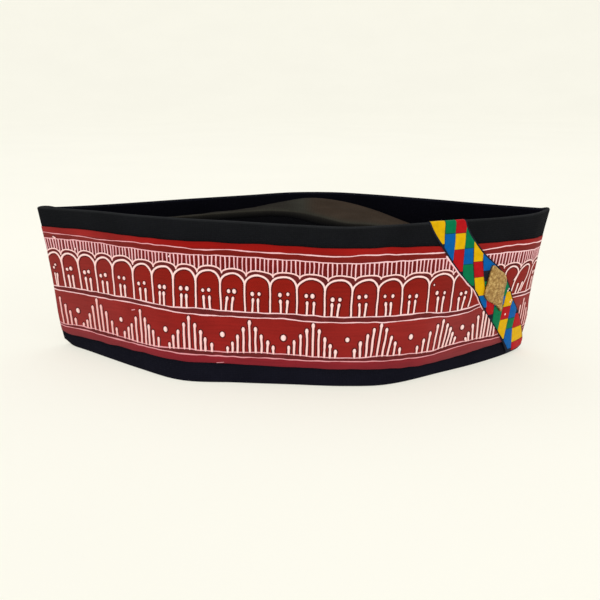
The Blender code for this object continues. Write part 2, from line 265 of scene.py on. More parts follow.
def near_folds(arc, reach):
    """Bell curves, 1 at the left and at the right fold, that fade out over reach mm."""
    from_left = np.minimum(arc, LOOP_LENGTH - arc)
    return [np.exp(-(away / reach) ** 2) for away in (from_left, arc - RIGHT_FOLD)]


def wall_points(arc, height, inset):
    """Points on the wall: the floor and rim loops at that inset, mixed by height over 83 mm.

    At the two folds the points are then raised and moved inward, as the tables say."""
    arc, height, inset = np.broadcast_arrays(np.mod(arc, LOOP_LENGTH), height, inset)
    station = np.interp(arc, ARC, np.arange(STATIONS + 1.0))
    i = np.minimum(station.astype(int), STATIONS - 1)
    u = (station - i)[..., None]
    depth = (inset - INSETS[0]) / (INSETS[1] - INSETS[0])
    j = np.clip(depth.astype(int), 0, len(INSETS) - 2)
    v = (depth - j)[..., None]
    near = LOOPS[:, j, i] * (1 - u) + LOOPS[:, j, i + 1] * u
    far = LOOPS[:, j + 1, i] * (1 - u) + LOOPS[:, j + 1, i + 1] * u
    low, high = near * (1 - v) + far * v
    share = (height / BAND_HEIGHT)[..., None]
    xy = low * (1 - share) + high * share
    up = np.clip(share[..., 0], 0.0, 1.0)
    corner, ear, end = (near_folds(arc, reach) for reach in (CORNER_REACH, EAR_REACH, BOW_REACH))
    lift = (CORNER_LIFT[0] * corner[0] + CORNER_LIFT[1] * corner[1]) * (1 - up) ** CORNER_FADE
    lift = lift + (EAR_LIFT[0] * ear[0] + EAR_LIFT[1] * ear[1]) * up ** EAR_FADE
    bow = [np.interp(height, END_BOW[:, 0], END_BOW[:, k]) for k in (1, 2)]
    xy[..., 0] += bow[0] * end[0] - bow[1] * end[1]
    return np.concatenate([xy, (height + lift)[..., None]], axis=-1)


def ripples(u, v, size, seed, waves=14):
    """Smooth seeded unevenness near -1 to 1: the sum of plane waves, about size mm long."""
    rng = np.random.default_rng(seed)
    heading, start = rng.uniform(0.0, 2 * math.pi, (2, waves))
    pace = 2 * math.pi / (size * rng.uniform(0.7, 1.4, waves))
    total = sum(np.sin(p * (u * math.cos(h) + v * math.sin(h)) + s)
                for h, s, p in zip(heading, start, pace))
    return total / math.sqrt(waves)


print("loop length in mm:", round(float(LOOP_LENGTH), 1), "right fold at",
      round(float(RIGHT_FOLD), 1))

# %% [markdown]
# Meshes from grids
#
# Cloth, paint and metal here are all grids of points. One function numbers the quads of a
# grid, and another puts points, quads, UV in mm of cloth and named numbers into a mesh.
# The UV follows the cloth, so a weave drawn with it keeps its real scale round every fold.

# %% Grid and mesh helpers
def grid_quads(rows, columns, close_rows=False, close_columns=False):
    """Corners of each quad as point numbers, and its row and column numbers left unwrapped."""
    r, c = np.meshgrid(np.arange(rows if close_rows else rows - 1),
                       np.arange(columns if close_columns else columns - 1), indexing="ij")
    corner_rows = np.stack([r, r, r + 1, r + 1], axis=-1).reshape(-1, 4)
    corner_columns = np.stack([c, c + 1, c + 1, c], axis=-1).reshape(-1, 4)
    numbers = (corner_rows % rows) * columns + corner_columns % columns
    return numbers, corner_rows, corner_columns


def new_piece(name, points, quads, material, uv=None, values=None, caps=(), node=None):
    """A piece on the root body, from points in mm and the node it stands for."""
    mesh = bpy.data.meshes.new(name)
    metres = (np.reshape(points, (-1, 3)) - BOX_MIDDLE) * MM
    mesh.from_pydata(metres.tolist(), [], [*quads.tolist(), *caps])
    if uv is not None:
        layer = mesh.uv_layers.new(name="cloth_mm")
        layer.data.foreach_set("uv", np.reshape(uv, -1))
    for key, numbers in (values or {}).items():
        mesh.attributes.new(key, "FLOAT", "POINT").data.foreach_set("value", np.ravel(numbers))
    mesh.shade_smooth()
    mesh.materials.append(material)
    piece = bpy.data.objects.new(name, mesh)
    bpy.context.scene.collection.objects.link(piece)
    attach(piece, "root")
    if node:
        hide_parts(node)
    print(f"{name}: {len(mesh.polygons)} faces")
    return piece


def thicken(piece, thickness):
    """Give an open sheet its cloth thickness in mm, behind its outward face."""
    wall = piece.modifiers.new("cloth", "SOLIDIFY")
    wall.thickness, wall.offset = thickness * MM, -1.0
    wall.use_even_offset, wall.use_rim = True, True


# %% [markdown]
# Black cotton
#
# The band is covered with plain black cotton. Close up it is a plain weave: threads cross
# one over one, so light catches a fine grid of bumps. Black cloth is never quite black: it
# is painted greyer at the rim as a highlight, darkest all over the inside as painted shade,
# and bluer low down. Two wave textures across each other make the threads, drawn 0.9 mm
# apart because the real 0.3 mm would be finer than a pixel.

# %% Black cotton material
THREAD_MM = 0.9
# A wave texture of scale 1 repeats after a tenth of pi
WAVE_SCALE = math.pi / 10 / THREAD_MM


def add_weave(material, shader, depth_mm, wave_scale=WAVE_SCALE, grain_mm=1.4):
    """Plain weave bump: the product of two wave patterns across each other, broken by noise."""
    cloth = add_node(material, "ShaderNodeUVMap", uv_map="cloth_mm")
    waves = [add_node(material, "ShaderNodeTexWave",
                      {"Scale": wave_scale, "Distortion": 1.2, "Detail": 2.0,
                       "Detail Scale": 1.0}, {"Vector": cloth.outputs["UV"]},
                      bands_direction=axis) for axis in ("X", "Y")]
    crossed = add_node(material, "ShaderNodeMath",
                       links={k: w.outputs["Fac"] for k, w in enumerate(waves)},
                       operation="MULTIPLY")
    grain = add_node(material, "ShaderNodeTexNoise", {"Scale": 1 / grain_mm, "Detail": 4.0},
                     {"Vector": cloth.outputs["UV"]})
    relief = add_node(material, "ShaderNodeMath",
                      links={0: crossed.outputs[0], 1: grain.outputs["Fac"]}, operation="ADD")
    bump = add_node(material, "ShaderNodeBump", {"Strength": 0.7, "Distance": depth_mm * MM},
                    {"Height": relief.outputs[0]})
    feed(shader, "Normal", bump.outputs["Normal"])
    return cloth, relief


black_cotton, black_shader = new_material("black_plain_weave_cotton", roughness=0.92,
                                          specular=0.025)
black_uv, black_relief = add_weave(black_cotton, black_shader, depth_mm=0.12)
black_dust = add_node(black_cotton, "ShaderNodeTexNoise", {"Scale": 0.05, "Detail": 5.0},
                      {"Vector": black_uv.outputs["UV"]})
black_height = add_node(black_cotton, "ShaderNodeAttribute", attribute_name="rise")
# Painted light and shade by rise: darkest inside as painted shade, greyer at the very rim as a
# painted highlight
black_ground = add_node(
    black_cotton, "ShaderNodeValToRGB", links={"Fac": black_height.outputs["Fac"]},
    stops=[(0.0, linear("#0a0a11")), (1.0, linear("#27282a")), (0.03, linear("#12121c")),
           (0.25, linear("#13141b")), (0.8, linear("#121317")), (0.985, linear("#151619"))])
black_tone = add_node(black_cotton, "ShaderNodeMix", {0: 0.22}, {
    6: black_ground.outputs["Color"], 7: black_relief.outputs[0]},
    data_type="RGBA", blend_type="OVERLAY")
black_cloudy = add_node(black_cotton, "ShaderNodeMix", {0: 0.35}, {
    6: black_tone.outputs[2], 7: black_dust.outputs["Fac"]},
    data_type="RGBA", blend_type="OVERLAY")
feed(black_shader, "Base Color", black_cloudy.outputs[2])

# %% [markdown]
# The band
#
# The wall is two layers of cloth over a stiffening, folded over at the rim. It is a closed
# section, drawn from the hem up the face, over the rounded rim and down inside, carried
# round the loop. The face has a shallow bed where the red panel lies, and the cloth is
# uneven by a tenth of a millimetre or so.

# %% Band
RIM_RADIUS, HEM_ROUNDING, HEM_CORNER, HEM_FLAT = BAND_THICKNESS / 2, 0.5, 0.15, 3.0
RIM_START = BAND_HEIGHT - RIM_RADIUS
PANEL_THICKNESS, PANEL_PROUD, PANEL_GAP, BED_ROOM = 1.0, 0.3, 0.08, 0.1
BED_DEPTH, BED_MIDDLE, BED_SLOPE = PANEL_THICKNESS - PANEL_PROUD + BED_ROOM, 40.0, 0.05
# Rows of points: between bed and rim, as shares, and down the inside, as heights
FACE_SHARES, LINED_HEIGHTS = (0.2, 0.45, 0.75), (74.0, 62.0, 48.0, 32.0, 16.0)
PANEL_EDGES = np.array([
    # distance along the loop, lower edge, upper edge
    (0.0, 7.2, 72.0), (30.0, 8.5, 72.1), (90.0, 10.2, 71.7), (150.0, 9.6, 72.3),
    (200.0, 9.0, 72.0), (233.0, 7.1, 70.4), (270.0, 9.0, 69.8), (311.0, 9.0, 68.0),
    (460.0, 9.5, 71.0), (616.0, 7.2, 72.0),
])
# Unevenness: how far, over what length, with which seed, and clear of the floor from where up
EDGE_WAVER, EDGE_WAVER_LENGTH = 0.16, 14.0
CLOTH_WAVER, CLOTH_WAVER_LENGTH, CLOTH_SEED, WAVER_FROM = 0.12, 38.0, 5, 10.0
# What lies on the face keeps less of its rise at a fold: share lost there, and over what length
FOLD_LOSS, FOLD_LOSS_REACH = 0.7, 4.0
# The least rise that colours the outside, and the station where the UV's climb is measured
HEM_RISE, UV_STATION = 0.03, 200
RING = ARC[:-1]


def panel_edge(arc, column):
    """Height of the panel's lower (1) or upper (2) edge, with a hand-cut waver."""
    spot = wall_points(arc, BED_MIDDLE, 0.0)
    waver = EDGE_WAVER * ripples(spot[..., 0], spot[..., 1], EDGE_WAVER_LENGTH, seed=column)
    return spline(np.mod(arc, LOOP_LENGTH), PANEL_EDGES[:, 0], PANEL_EDGES[:, column]) + waver


def near_face(arc):
    """Share of its full rise that what lies on the wall keeps: less at the folded ends."""
    return 1.0 - FOLD_LOSS * np.maximum(*near_folds(np.mod(arc, LOOP_LENGTH), FOLD_LOSS_REACH))


def wavered(points):
    """The points moved front to back by smooth unevenness that fades out at the floor."""
    moved = points.copy()
    push = ripples(points[..., 0], points[..., 1] + points[..., 2], CLOTH_WAVER_LENGTH, CLOTH_SEED)
    moved[..., 1] += CLOTH_WAVER * push * np.clip(points[..., 2] / WAVER_FROM, 0.0, 1.0)
    return moved


# The section, as heights and insets: hem, face with its bed, rim, inside and back to the hem
low, high = panel_edge(RING, 1) - PANEL_GAP, panel_edge(RING, 2) + PANEL_GAP
band_section = [(0.0, HEM_ROUNDING), (HEM_CORNER, HEM_CORNER), (HEM_ROUNDING, 0.0),
                (HEM_FLAT, 0.0), (low, 0.0), (low + BED_SLOPE, BED_DEPTH),
                (BED_MIDDLE, BED_DEPTH), (high - BED_SLOPE, BED_DEPTH), (high, 0.0)]
band_section += [(high + (RIM_START - high) * share, 0.0) for share in FACE_SHARES]
band_section += [(RIM_START + RIM_RADIUS * math.sin(turned), RIM_RADIUS * (1 - math.cos(turned)))
                 for turned in np.linspace(0.0, math.pi, 11)]
band_section += [(height, BAND_THICKNESS) for height in (*LINED_HEIGHTS, HEM_ROUNDING)]
band_section += [(0.0, BAND_THICKNESS - HEM_ROUNDING)]
band_points = wavered(np.array([wall_points(RING, height, inset)
                                for height, inset in band_section]))
quads, rows, columns = grid_quads(len(band_points), len(RING), True, True)
climb = np.concatenate([[0.0], np.cumsum(np.linalg.norm(
    np.diff(band_points[:, UV_STATION], axis=0), axis=1))])
climb = np.append(climb, climb[-1] + 1.0)
# The colour follows the height outside, with a painted highlight at the rim, and is darkest all
# over the inside as painted shade
depth_in = np.array([np.broadcast_to(inset, RING.shape) for _, inset in band_section])
inside = np.clip((depth_in - RIM_RADIUS) / RIM_RADIUS, 0.0, 1.0)
band_rise = np.maximum(band_points[..., 2] / BAND_HEIGHT, HEM_RISE) * (1 - inside)
new_piece("band_cloth", band_points, quads, black_cotton,
          uv=np.stack([ARC[columns], climb[rows]], axis=-1),
          values={"rise": band_rise}, node="band")

# %% [markdown]
# Red painted cloth
#
# The panel's ground is brick-red acrylic brushed on cloth by hand. It dries a little
# uneven: brush marks run along the band, the stripes near the rim are brighter, and the
# ground behind the comb of white teeth is darker. The colour follows how far up the panel
# a point is, as a ramp, and long thin noise gives the brush marks in colour and relief. At
# the folds, where light grazes the cloth, and in the shade beside the ribbon, the red is
# painted paler and a little grey.

# %% Red acrylic material
red_acrylic, red_shader = new_material("brushed_red_acrylic_on_cloth", roughness=0.62,
                                       specular=0.06)
red_uv = add_node(red_acrylic, "ShaderNodeUVMap", uv_map="cloth_mm")
red_height = add_node(red_acrylic, "ShaderNodeAttribute", attribute_name="rise")
red_ramp = add_node(
    red_acrylic, "ShaderNodeValToRGB", links={"Fac": red_height.outputs["Fac"]},
    stops=[(0.0, linear("#7d212b")), (1.0, linear("#95110d")), (0.065, linear("#88212a")),
           (0.09, linear("#90201d")), (0.40, linear("#8e1f1b")), (0.46, linear("#8b1a12")),
           (0.75, linear("#8a1910")), (0.79, linear("#6e1513")), (0.885, linear("#6e1715")),
           (0.90, linear("#761a15")), (0.94, linear("#771a14")), (0.955, linear("#95110c"))])
# Painted light and shade: the red is mixed paler and greyer where light grazes the folds and in
# the shade beside the ribbon
red_grazing_pale = add_node(red_acrylic, "ShaderNodeAttribute", attribute_name="grazing_light_pale")
red_grazing_paled = add_node(red_acrylic, "ShaderNodeMix", {7: linear("#834c4d")}, {
    0: red_grazing_pale.outputs["Fac"], 6: red_ramp.outputs["Color"]}, data_type="RGBA")
brush_place = add_node(red_acrylic, "ShaderNodeMapping", {"Scale": (0.05, 0.9, 1.0)},
                       {"Vector": red_uv.outputs["UV"]})
brush = add_node(red_acrylic, "ShaderNodeTexNoise",
                 {"Scale": 1.0, "Detail": 5.0, "Roughness": 0.6},
                 {"Vector": brush_place.outputs["Vector"]})
blotch = add_node(red_acrylic, "ShaderNodeTexNoise", {"Scale": 0.045, "Detail": 3.0},
                  {"Vector": red_uv.outputs["UV"]})
brushed = add_node(red_acrylic, "ShaderNodeMix", {0: 0.28}, {
    6: red_grazing_paled.outputs[2], 7: brush.outputs["Fac"]},
    data_type="RGBA", blend_type="OVERLAY")
blotched = add_node(red_acrylic, "ShaderNodeMix", {0: 0.25}, {
    6: brushed.outputs[2], 7: blotch.outputs["Fac"]}, data_type="RGBA", blend_type="OVERLAY")
feed(red_shader, "Base Color", blotched.outputs[2])
red_bump = add_node(red_acrylic, "ShaderNodeBump", {"Strength": 0.5, "Distance": 0.08 * MM},
                    {"Height": brush.outputs["Fac"]})
feed(red_shader, "Normal", red_bump.outputs["Normal"])

# %% Painted panel
# The panel's edge: how deep it starts, its first step in and proud, and where it is flat
EDGE_SUNK, EDGE_STEP, STEP_PROUD, EDGE_FLAT = 0.05, 0.1, 0.2, 0.35
GRAZING_PALE = np.array([
    # distance along the loop, share of the paler, greyer red painted for grazing light and shade
    (0.0, 0.3), (12.0, 0.22), (45.0, 0.16), (75.0, 0.05), (100.0, 0.0), (150.0, 0.0),
    (200.0, 0.06), (225.0, 0.1), (236.0, 0.26), (245.0, 0.32), (300.0, 0.3), (330.0, 0.0),
    (LOOP_LENGTH - 40.0, 0.0), (LOOP_LENGTH, 0.3),
])
# Near the ribbon the paler part is the lower half only: from, to, and how it fades upwards
RIBBON_SIDE, LOWER_PART, LOWER_FADE, UPPER_KEPT = (200.0, 330.0), 0.48, 0.08, 0.35

edge_low, edge_high = panel_edge(RING, 1), panel_edge(RING, 2)
flat_low, flat_high = edge_low + EDGE_FLAT, edge_high - EDGE_FLAT
panel_section = [(edge_low, EDGE_SUNK), (edge_low + EDGE_STEP, -STEP_PROUD)]
panel_section += [(flat_low + (flat_high - flat_low) * share, -PANEL_PROUD)
                  for share in np.linspace(0.0, 1.0, 17)]
panel_section += [(edge_high - EDGE_STEP, -STEP_PROUD), (edge_high, EDGE_SUNK),
                  (edge_high, BED_DEPTH - BED_ROOM), (edge_low, BED_DEPTH - BED_ROOM)]
panel_points = wavered(np.array([
    wall_points(RING, height, inset * (near_face(RING) if inset < 0 else 1))
    for height, inset in panel_section]))
panel_rise = np.array([(height - edge_low) / (edge_high - edge_low)
                       for height, _ in panel_section])
lower_part = np.clip((LOWER_PART - panel_rise) / LOWER_FADE, UPPER_KEPT, 1.0)
beside_ribbon = (RING > RIBBON_SIDE[0]) & (RING < RIBBON_SIDE[1])
panel_grazing_pale = (np.interp(RING, GRAZING_PALE[:, 0], GRAZING_PALE[:, 1])
                * np.where(beside_ribbon, lower_part, 1.0))
quads, rows, columns = grid_quads(len(panel_points), len(RING), True, True)
panel_up = np.append(panel_points[:, UV_STATION, 2], panel_points[0, UV_STATION, 2])
new_piece("painted_panel_cloth", panel_points, quads, red_acrylic,
          uv=np.stack([ARC[columns], panel_up[rows]], axis=-1),
          values={"rise": panel_rise, "grazing_light_pale": panel_grazing_pale}, node="painted_panel")

# %% [markdown]
# White paint
#
# The pattern is drawn with a cone or a fine nozzle, as ritual floor paintings of the
# hills are: the paint stands up as small rounded beads, thicker where a stroke starts. A
# stroke is a path on the wall's map, with a bead's section across it: five points over
# the top and two under, closed at rounded ends. Real strokes, and not a picture, catch the
# light and stay sharp at every distance. Thin paint at a bead's edge lets the red through,
# so it is pinker there than on its crest.

# %% White acrylic material
def piped_acrylic(name, edge_colour, flank_colour, crest_colour):
    """Acrylic bead: coloured by how high up the bead a point is, with a fine uneven skin."""
    paint, shader = new_material(name, roughness=0.5, specular=0.12)
    crest = add_node(paint, "ShaderNodeAttribute", attribute_name="crest")
    place = add_node(paint, "ShaderNodeTexCoord")
    # Object coordinates are metres, so this skin has grains of 1.1 mm
    noise = add_node(paint, "ShaderNodeTexNoise", {"Scale": 900.0, "Detail": 3.0},
                     {"Vector": place.outputs["Object"]})
    ramp = add_node(paint, "ShaderNodeValToRGB", links={"Fac": crest.outputs["Fac"]},
                    stops=[(0.0, linear(edge_colour)), (1.0, linear(crest_colour)),
                           (0.6, linear(flank_colour))])
    tone = add_node(paint, "ShaderNodeMix", {0: 0.1}, {
        6: ramp.outputs["Color"], 7: noise.outputs["Fac"]},
        data_type="RGBA", blend_type="OVERLAY")
    feed(shader, "Base Color", tone.outputs[2])
    bump = add_node(paint, "ShaderNodeBump", {"Strength": 0.4, "Distance": 0.05 * MM},
                    {"Height": noise.outputs["Fac"]})
    feed(shader, "Normal", bump.outputs["Normal"])
    return paint


white_acrylic = piped_acrylic("piped_white_acrylic", "#b56768", "#ffc4c4", "#ffeae9")
thin_acrylic = piped_acrylic("thin_pink_white_acrylic", "#98464e", "#eca1ab", "#ffe1e6")


def maroon_acrylic(name, dark_colour, light_colour):
    """Thin dark red acrylic, brushed on and a little cloudy."""
    paint, shader = new_material(name, roughness=0.6, specular=0.06)
    place = add_node(paint, "ShaderNodeTexCoord")
    # Clouds of about 3 mm
    noise = add_node(paint, "ShaderNodeTexNoise", {"Scale": 300.0, "Detail": 3.0},
                     {"Vector": place.outputs["Object"]})
    tone = add_node(paint, "ShaderNodeValToRGB", links={"Fac": noise.outputs["Fac"]},
                    stops=[(0.3, linear(dark_colour)), (0.7, linear(light_colour))])
    feed(shader, "Base Color", tone.outputs["Color"])
    return paint


maroon_wash = maroon_acrylic("maroon_acrylic_wash", "#5c1d1e", "#702728")
# A painted shade: the dark edge round every white bead stands in for its shadow and dark rim
shade_edge_maroon = maroon_acrylic("maroon_painted_shade_edge", "#481112", "#5c1819")

# %% Strokes of paint
# A bead's section: place across it as a share of half its width, rise as a share of relief
BEAD_ACROSS = np.array([-1.0, -0.66, 0.0, 0.66, 1.0, 1.0, -1.0])
BEAD_RISE = np.array([0.0, 0.8, 1.0, 0.8, 0.0, 0.0, 0.0])
BEAD_UNDER, BEAD_ROOT = slice(5, 7), 0.12
# A rounded end: reach beyond the path as a share of half the width, and the width kept
END_REACH = np.array([1.0, 0.8, 0.45])
END_WIDTH = np.array([0.15, 0.62, 0.9])
# A hand isn't steady: how far strokes stray, over what length, and how much widths vary
STRAY, STRAY_LENGTH, WIDTH_CHANGE, CHANGE_LENGTH = 0.08, 8.0, 0.09, 3.5
STRAY_SEEDS, CHANGE_SEED = (41, 42), 43


def with_ends(values):
    """Values for each sample of each stroke, with the first and last kept for its two ends."""
    ends = len(END_REACH)
    return np.concatenate([values[:, :1].repeat(ends, 1), values,
                           values[:, -1:].repeat(ends, 1)], axis=1)


def strokes(name, families, material, sheet_inset=-PANEL_PROUD):
    """Beads of paint: for each sample, the path moved sideways by the section's places.

    A family is (path, width, relief), its path shaped strokes x samples x (along, up), and
    may end with a cover, for each sample or stroke: 1, or less where thin paint shows red."""
    points, crests, quads, caps, start = [], [], [], [], 0
    section = len(BEAD_ACROSS)
    for path, width, relief, *cover in families:
        path = np.asarray(path, float)
        hand = [ripples(path[..., 0], path[..., 1], STRAY_LENGTH, seed) for seed in STRAY_SEEDS]
        path = path + STRAY * np.stack(hand, axis=-1)
        width = width * (1 + WIDTH_CHANGE * ripples(path[..., 0], path[..., 1],
                                                    CHANGE_LENGTH, CHANGE_SEED))
        ahead = np.gradient(path, axis=1)
        ahead /= np.linalg.norm(ahead, axis=-1, keepdims=True)
        first = path[:, :1] - ahead[:, :1] * (width[:, :1] / 2 * END_REACH)[..., None]
        last = path[:, -1:] + ahead[:, -1:] * (width[:, -1:] / 2 * END_REACH[::-1])[..., None]
        line = np.concatenate([first, path, last], axis=1)
        count, samples = line.shape[:2]
        swell = np.concatenate([END_WIDTH, np.ones(path.shape[1]), END_WIDTH[::-1]])
        full = with_ends(width) * swell
        ahead = with_ends(ahead)
        side = np.stack([-ahead[..., 1], ahead[..., 0]], axis=-1)
        spot = line[:, :, None] + side[:, :, None] * (full[..., None] / 2 * BEAD_ACROSS)[..., None]
        inset = sheet_inset - relief * swell[:, None] * BEAD_RISE
        inset[:, BEAD_UNDER] = sheet_inset + BEAD_ROOT
        inset = inset * near_face(spot[..., 0])
        points.append(wall_points(spot[..., 0], spot[..., 1], inset).reshape(-1, 3))
        shown = with_ends(np.broadcast_to(cover[0] if cover else 1.0, path.shape[:2]))
        crests.append((shown[..., None] * BEAD_RISE).ravel())
        block, _, _ = grid_quads(samples, section, False, True)
        offsets = start + np.arange(count) * samples * section
        quads.append((block[None] + offsets[:, None, None]).reshape(-1, 4))
        ring = np.arange(section)
        caps += (offsets[:, None] + ring[::-1]).tolist()
        caps += (offsets[:, None] + (samples - 1) * section + ring).tolist()
        start += count * samples * section
    new_piece(name, wavered(np.concatenate(points)), np.concatenate(quads)[:, ::-1], material,
              values={"crest": np.concatenate(crests)}, caps=[cap[::-1] for cap in caps])


# %% [markdown]
# Lines round the panel
#
# Six lines run round the panel: one under the top stripe, one that the comb hangs from, a
# pair under the arches and a pair near the hem. Each was drawn freehand, so each has its
# own table of heights, read off the front. The back isn't seen in the photo, and carries
# the lines on plainly.

# %% Line heights
LINES = {
    # distance along the loop: height, for each line from the top down
    "top": {5: 68.75, 30: 68.25, 42: 67.75, 60: 68.5, 90: 68.7, 110: 68.0, 122: 68.75,
            135: 68.4, 155: 68.6, 175: 68.35, 190: 68.85, 210: 68.0, 222: 67.5, 232: 67.0,
            257: 66.5, 275: 67.25, 285: 66.75, 295: 66.25, 302: 65.5, 330: 65.6, 460: 67.6,
            611: 68.7},
    "comb": {5: 65.5, 20: 65.75, 45: 65.75, 60: 65.5, 79: 65.25, 105: 65.25, 120: 65.5,
             150: 65.4, 175: 65.0, 190: 64.85, 205: 64.75, 220: 64.5, 235: 63.9, 261: 63.75,
             270: 63.6, 280: 63.25, 290: 62.5, 300: 62.0, 330: 62.2, 460: 64.2, 611: 65.4},
    "upper_pair_top": {5: 37.0, 20: 37.5, 50: 38.0, 65: 38.35, 90: 37.75, 105: 38.25,
                       120: 37.5, 150: 37.75, 175: 37.5, 190: 37.25, 205: 37.0, 217: 36.6,
                       227: 36.0, 235: 34.75, 242: 34.4, 252: 35.0, 261: 36.5, 286: 38.25,
                       295: 37.75, 305: 37.5, 460: 37.6, 611: 37.1},
    "upper_pair_foot": {5: 34.75, 35: 35.0, 50: 35.5, 65: 36.0, 79: 35.8, 95: 35.25,
                        120: 34.75, 135: 34.75, 150: 35.25, 159: 34.6, 190: 34.5, 205: 33.75,
                        220: 33.5, 230: 33.0, 242: 32.0, 252: 32.5, 261: 34.5, 288: 36.25,
                        295: 35.75, 305: 35.0, 460: 35.0, 611: 34.8},
    "lower_pair_top": {5: 13.5, 15: 14.75, 40: 15.5, 79: 15.5, 97: 17.0, 110: 16.5,
                       125: 16.25, 135: 16.75, 150: 16.5, 190: 15.75, 200: 16.25, 210: 15.75,
                       220: 15.0, 230: 14.25, 247: 15.75, 260: 16.0, 278: 15.25, 311: 15.2,
                       460: 15.8, 611: 13.4},
    "lower_pair_foot": {5: 12.0, 20: 13.0, 35: 13.0, 55: 13.5, 95: 14.25, 110: 14.25,
                        125: 13.75, 140: 14.0, 159: 13.6, 185: 13.85, 205: 13.25, 217: 12.75,
                        230: 11.75, 247: 13.25, 260: 14.0, 270: 13.5, 311: 13.4, 460: 13.6,
                        611: 11.9},
}
LINE_STEP, LINE_OVERRUN, LINE_RELIEF = 1.1, 0.6, 0.15
# A line's tremble up and down in mm, and in its width as a share, each over what length
TREMBLE, TREMBLE_LENGTH, SWELL, SWELL_LENGTH = 0.09, 9.0, 0.22, 17.0
# Each line's width near the left end and beyond the middle, then its cover at both
LINE_TOUCH = ((0.52, 0.7, 0.7, 1.0), (0.6, 0.68, 0.8, 1.0), (0.7, 0.7, 0.95, 1.0),
              (0.72, 0.72, 0.95, 1.0), (0.68, 0.62, 0.62, 0.8), (0.7, 0.62, 0.6, 0.65))
TOUCH_PLACES = (60.0, 190.0)


def line_height(name, arc):
    """Height of a painted line: a smooth curve through its table of heights."""
    table = LINES[name]
    knots, values = np.array(list(table), float), np.array(list(table.values()))
    return spline(np.clip(arc, knots[0], knots[-1]), knots, values)


def loop_path(heights, arc):
    """One stroke round the loop at the heights, with a hand's small tremble."""
    up = heights + TREMBLE * ripples(arc, heights, TREMBLE_LENGTH, seed=int(heights[0] * 10))
    return np.stack([arc, up], axis=-1)[None]


loop_arc = np.arange(-LINE_OVERRUN, LOOP_LENGTH + LINE_OVERRUN, LINE_STEP)
line_families = []
for number, (name, touch) in enumerate(zip(LINES, LINE_TOUCH)):
    swelling = 1 + SWELL * ripples(loop_arc, loop_arc * 0, SWELL_LENGTH, seed=30 + number)
    line_width = np.interp(loop_arc, TOUCH_PLACES, touch[:2]) * swelling
    line_families.append((loop_path(line_height(name, loop_arc), loop_arc), line_width[None],
                          LINE_RELIEF, np.interp(loop_arc, TOUCH_PLACES, touch[2:])[None]))
strokes("painted_lines", line_families, thin_acrylic)

# %% [markdown]
# Arches and comb
#
# A row of arches stands on the upper pair of lines, as doorways do in such paintings, and
# each holds two dots and two short strokes. A thin scalloped line runs over them, and a
# comb of fine teeth hangs down to it. The front's arches are each a little different, so
# their legs and crowns are a table. The back's are evenly spaced.

# %% Arch tables
FRONT_LEGS = np.array([-1.0, 11.75, 24.5, 37.5, 50.75, 65.75, 79.0, 92.25, 104.75, 117.5,
                       130.25, 143.5, 157.1, 171.0, 184.25, 197.25, 210.25, 226.0, 241.2,
                       254.0])
FRONT_CROWNS = np.array([
    # along, height of the scallop's crown
    (7.5, 59.75), (18.0, 60.0), (31.0, 60.5), (45.0, 60.5), (59.5, 60.75), (73.5, 60.25),
    (88.0, 60.5), (99.5, 60.25), (111.75, 60.25), (124.25, 59.25), (137.25, 59.0),
    (150.5, 59.0), (165.0, 58.75), (178.75, 58.75), (192.25, 58.5), (204.25, 58.0),
    (218.75, 58.0), (233.5, 57.75), (247.3, 57.5),
])
FRONT_VALLEYS = np.array([
    (-0.5, 56.5), (12.25, 56.75), (25.0, 56.75), (38.0, 57.25), (51.25, 57.5), (66.25, 57.0),
    (80.25, 57.5), (94.25, 57.5), (105.75, 56.75), (118.5, 57.0), (131.25, 56.25),
    (145.0, 56.25), (158.25, 56.5), (172.25, 56.0), (185.5, 56.5), (198.4, 56.5),
    (211.25, 55.5), (226.75, 55.25), (240.25, 55.0), (253.8, 54.9),
])
SIDE_CROWNS = np.array([(260.5, 57.4), (270.0, 57.2), (280.0, 57.0), (293.5, 56.5),
                        (306.8, 56.3)])
SIDE_VALLEYS = np.array([(267.0, 54.9), (273.5, 54.75), (287.0, 53.5), (300.2, 53.4)])
BACK_ARCHES, BACK_START, BACK_END = 23, 313.5, LOOP_LENGTH - 0.5
CROWN_UNDER_COMB, VALLEY_UNDER_COMB = 5.3, 8.6
ARCH_RISE = 5.7
# An arch's crown is about 2 mm under its scallop's, and closer to it towards the ribbon
ARCH_DROP = ((130.0, 230.0, 300.0), (2.3, 1.95, 2.3))
# The share of an arch's half width, from its middle, beyond which the gap keeps its height
GAP_SHARE = 0.86
LEG_STRAY, LEG_INTO_ARCH, LEG_OVER_LINE = 0.25, 0.4, 0.2
# Width and relief, and for the scallops their cover
ARCH_BEAD, LEG_BEAD, SCALLOP_BEAD = (1.15, 0.24), (1.0, 0.22), (0.88, 0.17, 0.86)

back_legs = np.linspace(BACK_START, BACK_END, BACK_ARCHES + 1)
back_middles = (back_legs[1:] + back_legs[:-1]) / 2
back_crowns = np.stack([back_middles, line_height("comb", back_middles) - CROWN_UNDER_COMB], -1)
back_valleys = np.stack([back_legs, line_height("comb", back_legs) - VALLEY_UNDER_COMB], -1)
crowns = np.concatenate([FRONT_CROWNS, SIDE_CROWNS, back_crowns])
valleys = np.concatenate([FRONT_VALLEYS, SIDE_VALLEYS, back_valleys])
print("scallops:", len(crowns), "valleys:", len(valleys))

# %% Scallops, arches and legs
SCALLOP_TURN = np.linspace(-math.pi / 2, math.pi / 2, 15)


def arc_between(left, right, crown, spring):
    """Half ellipses from a left foot over a crown to a right foot, one for each row."""
    reach = np.where(SCALLOP_TURN[None] < 0, crown[:, :1] - left[:, None],
                     right[:, None] - crown[:, :1])
    across = crown[:, :1] + reach * np.sin(SCALLOP_TURN)[None]
    foot = np.where(SCALLOP_TURN[None] < 0, spring[0][:, None], spring[1][:, None])
    up = foot + (crown[:, 1:] - foot) * np.cos(SCALLOP_TURN)[None]
    return np.stack([across, up], axis=-1)


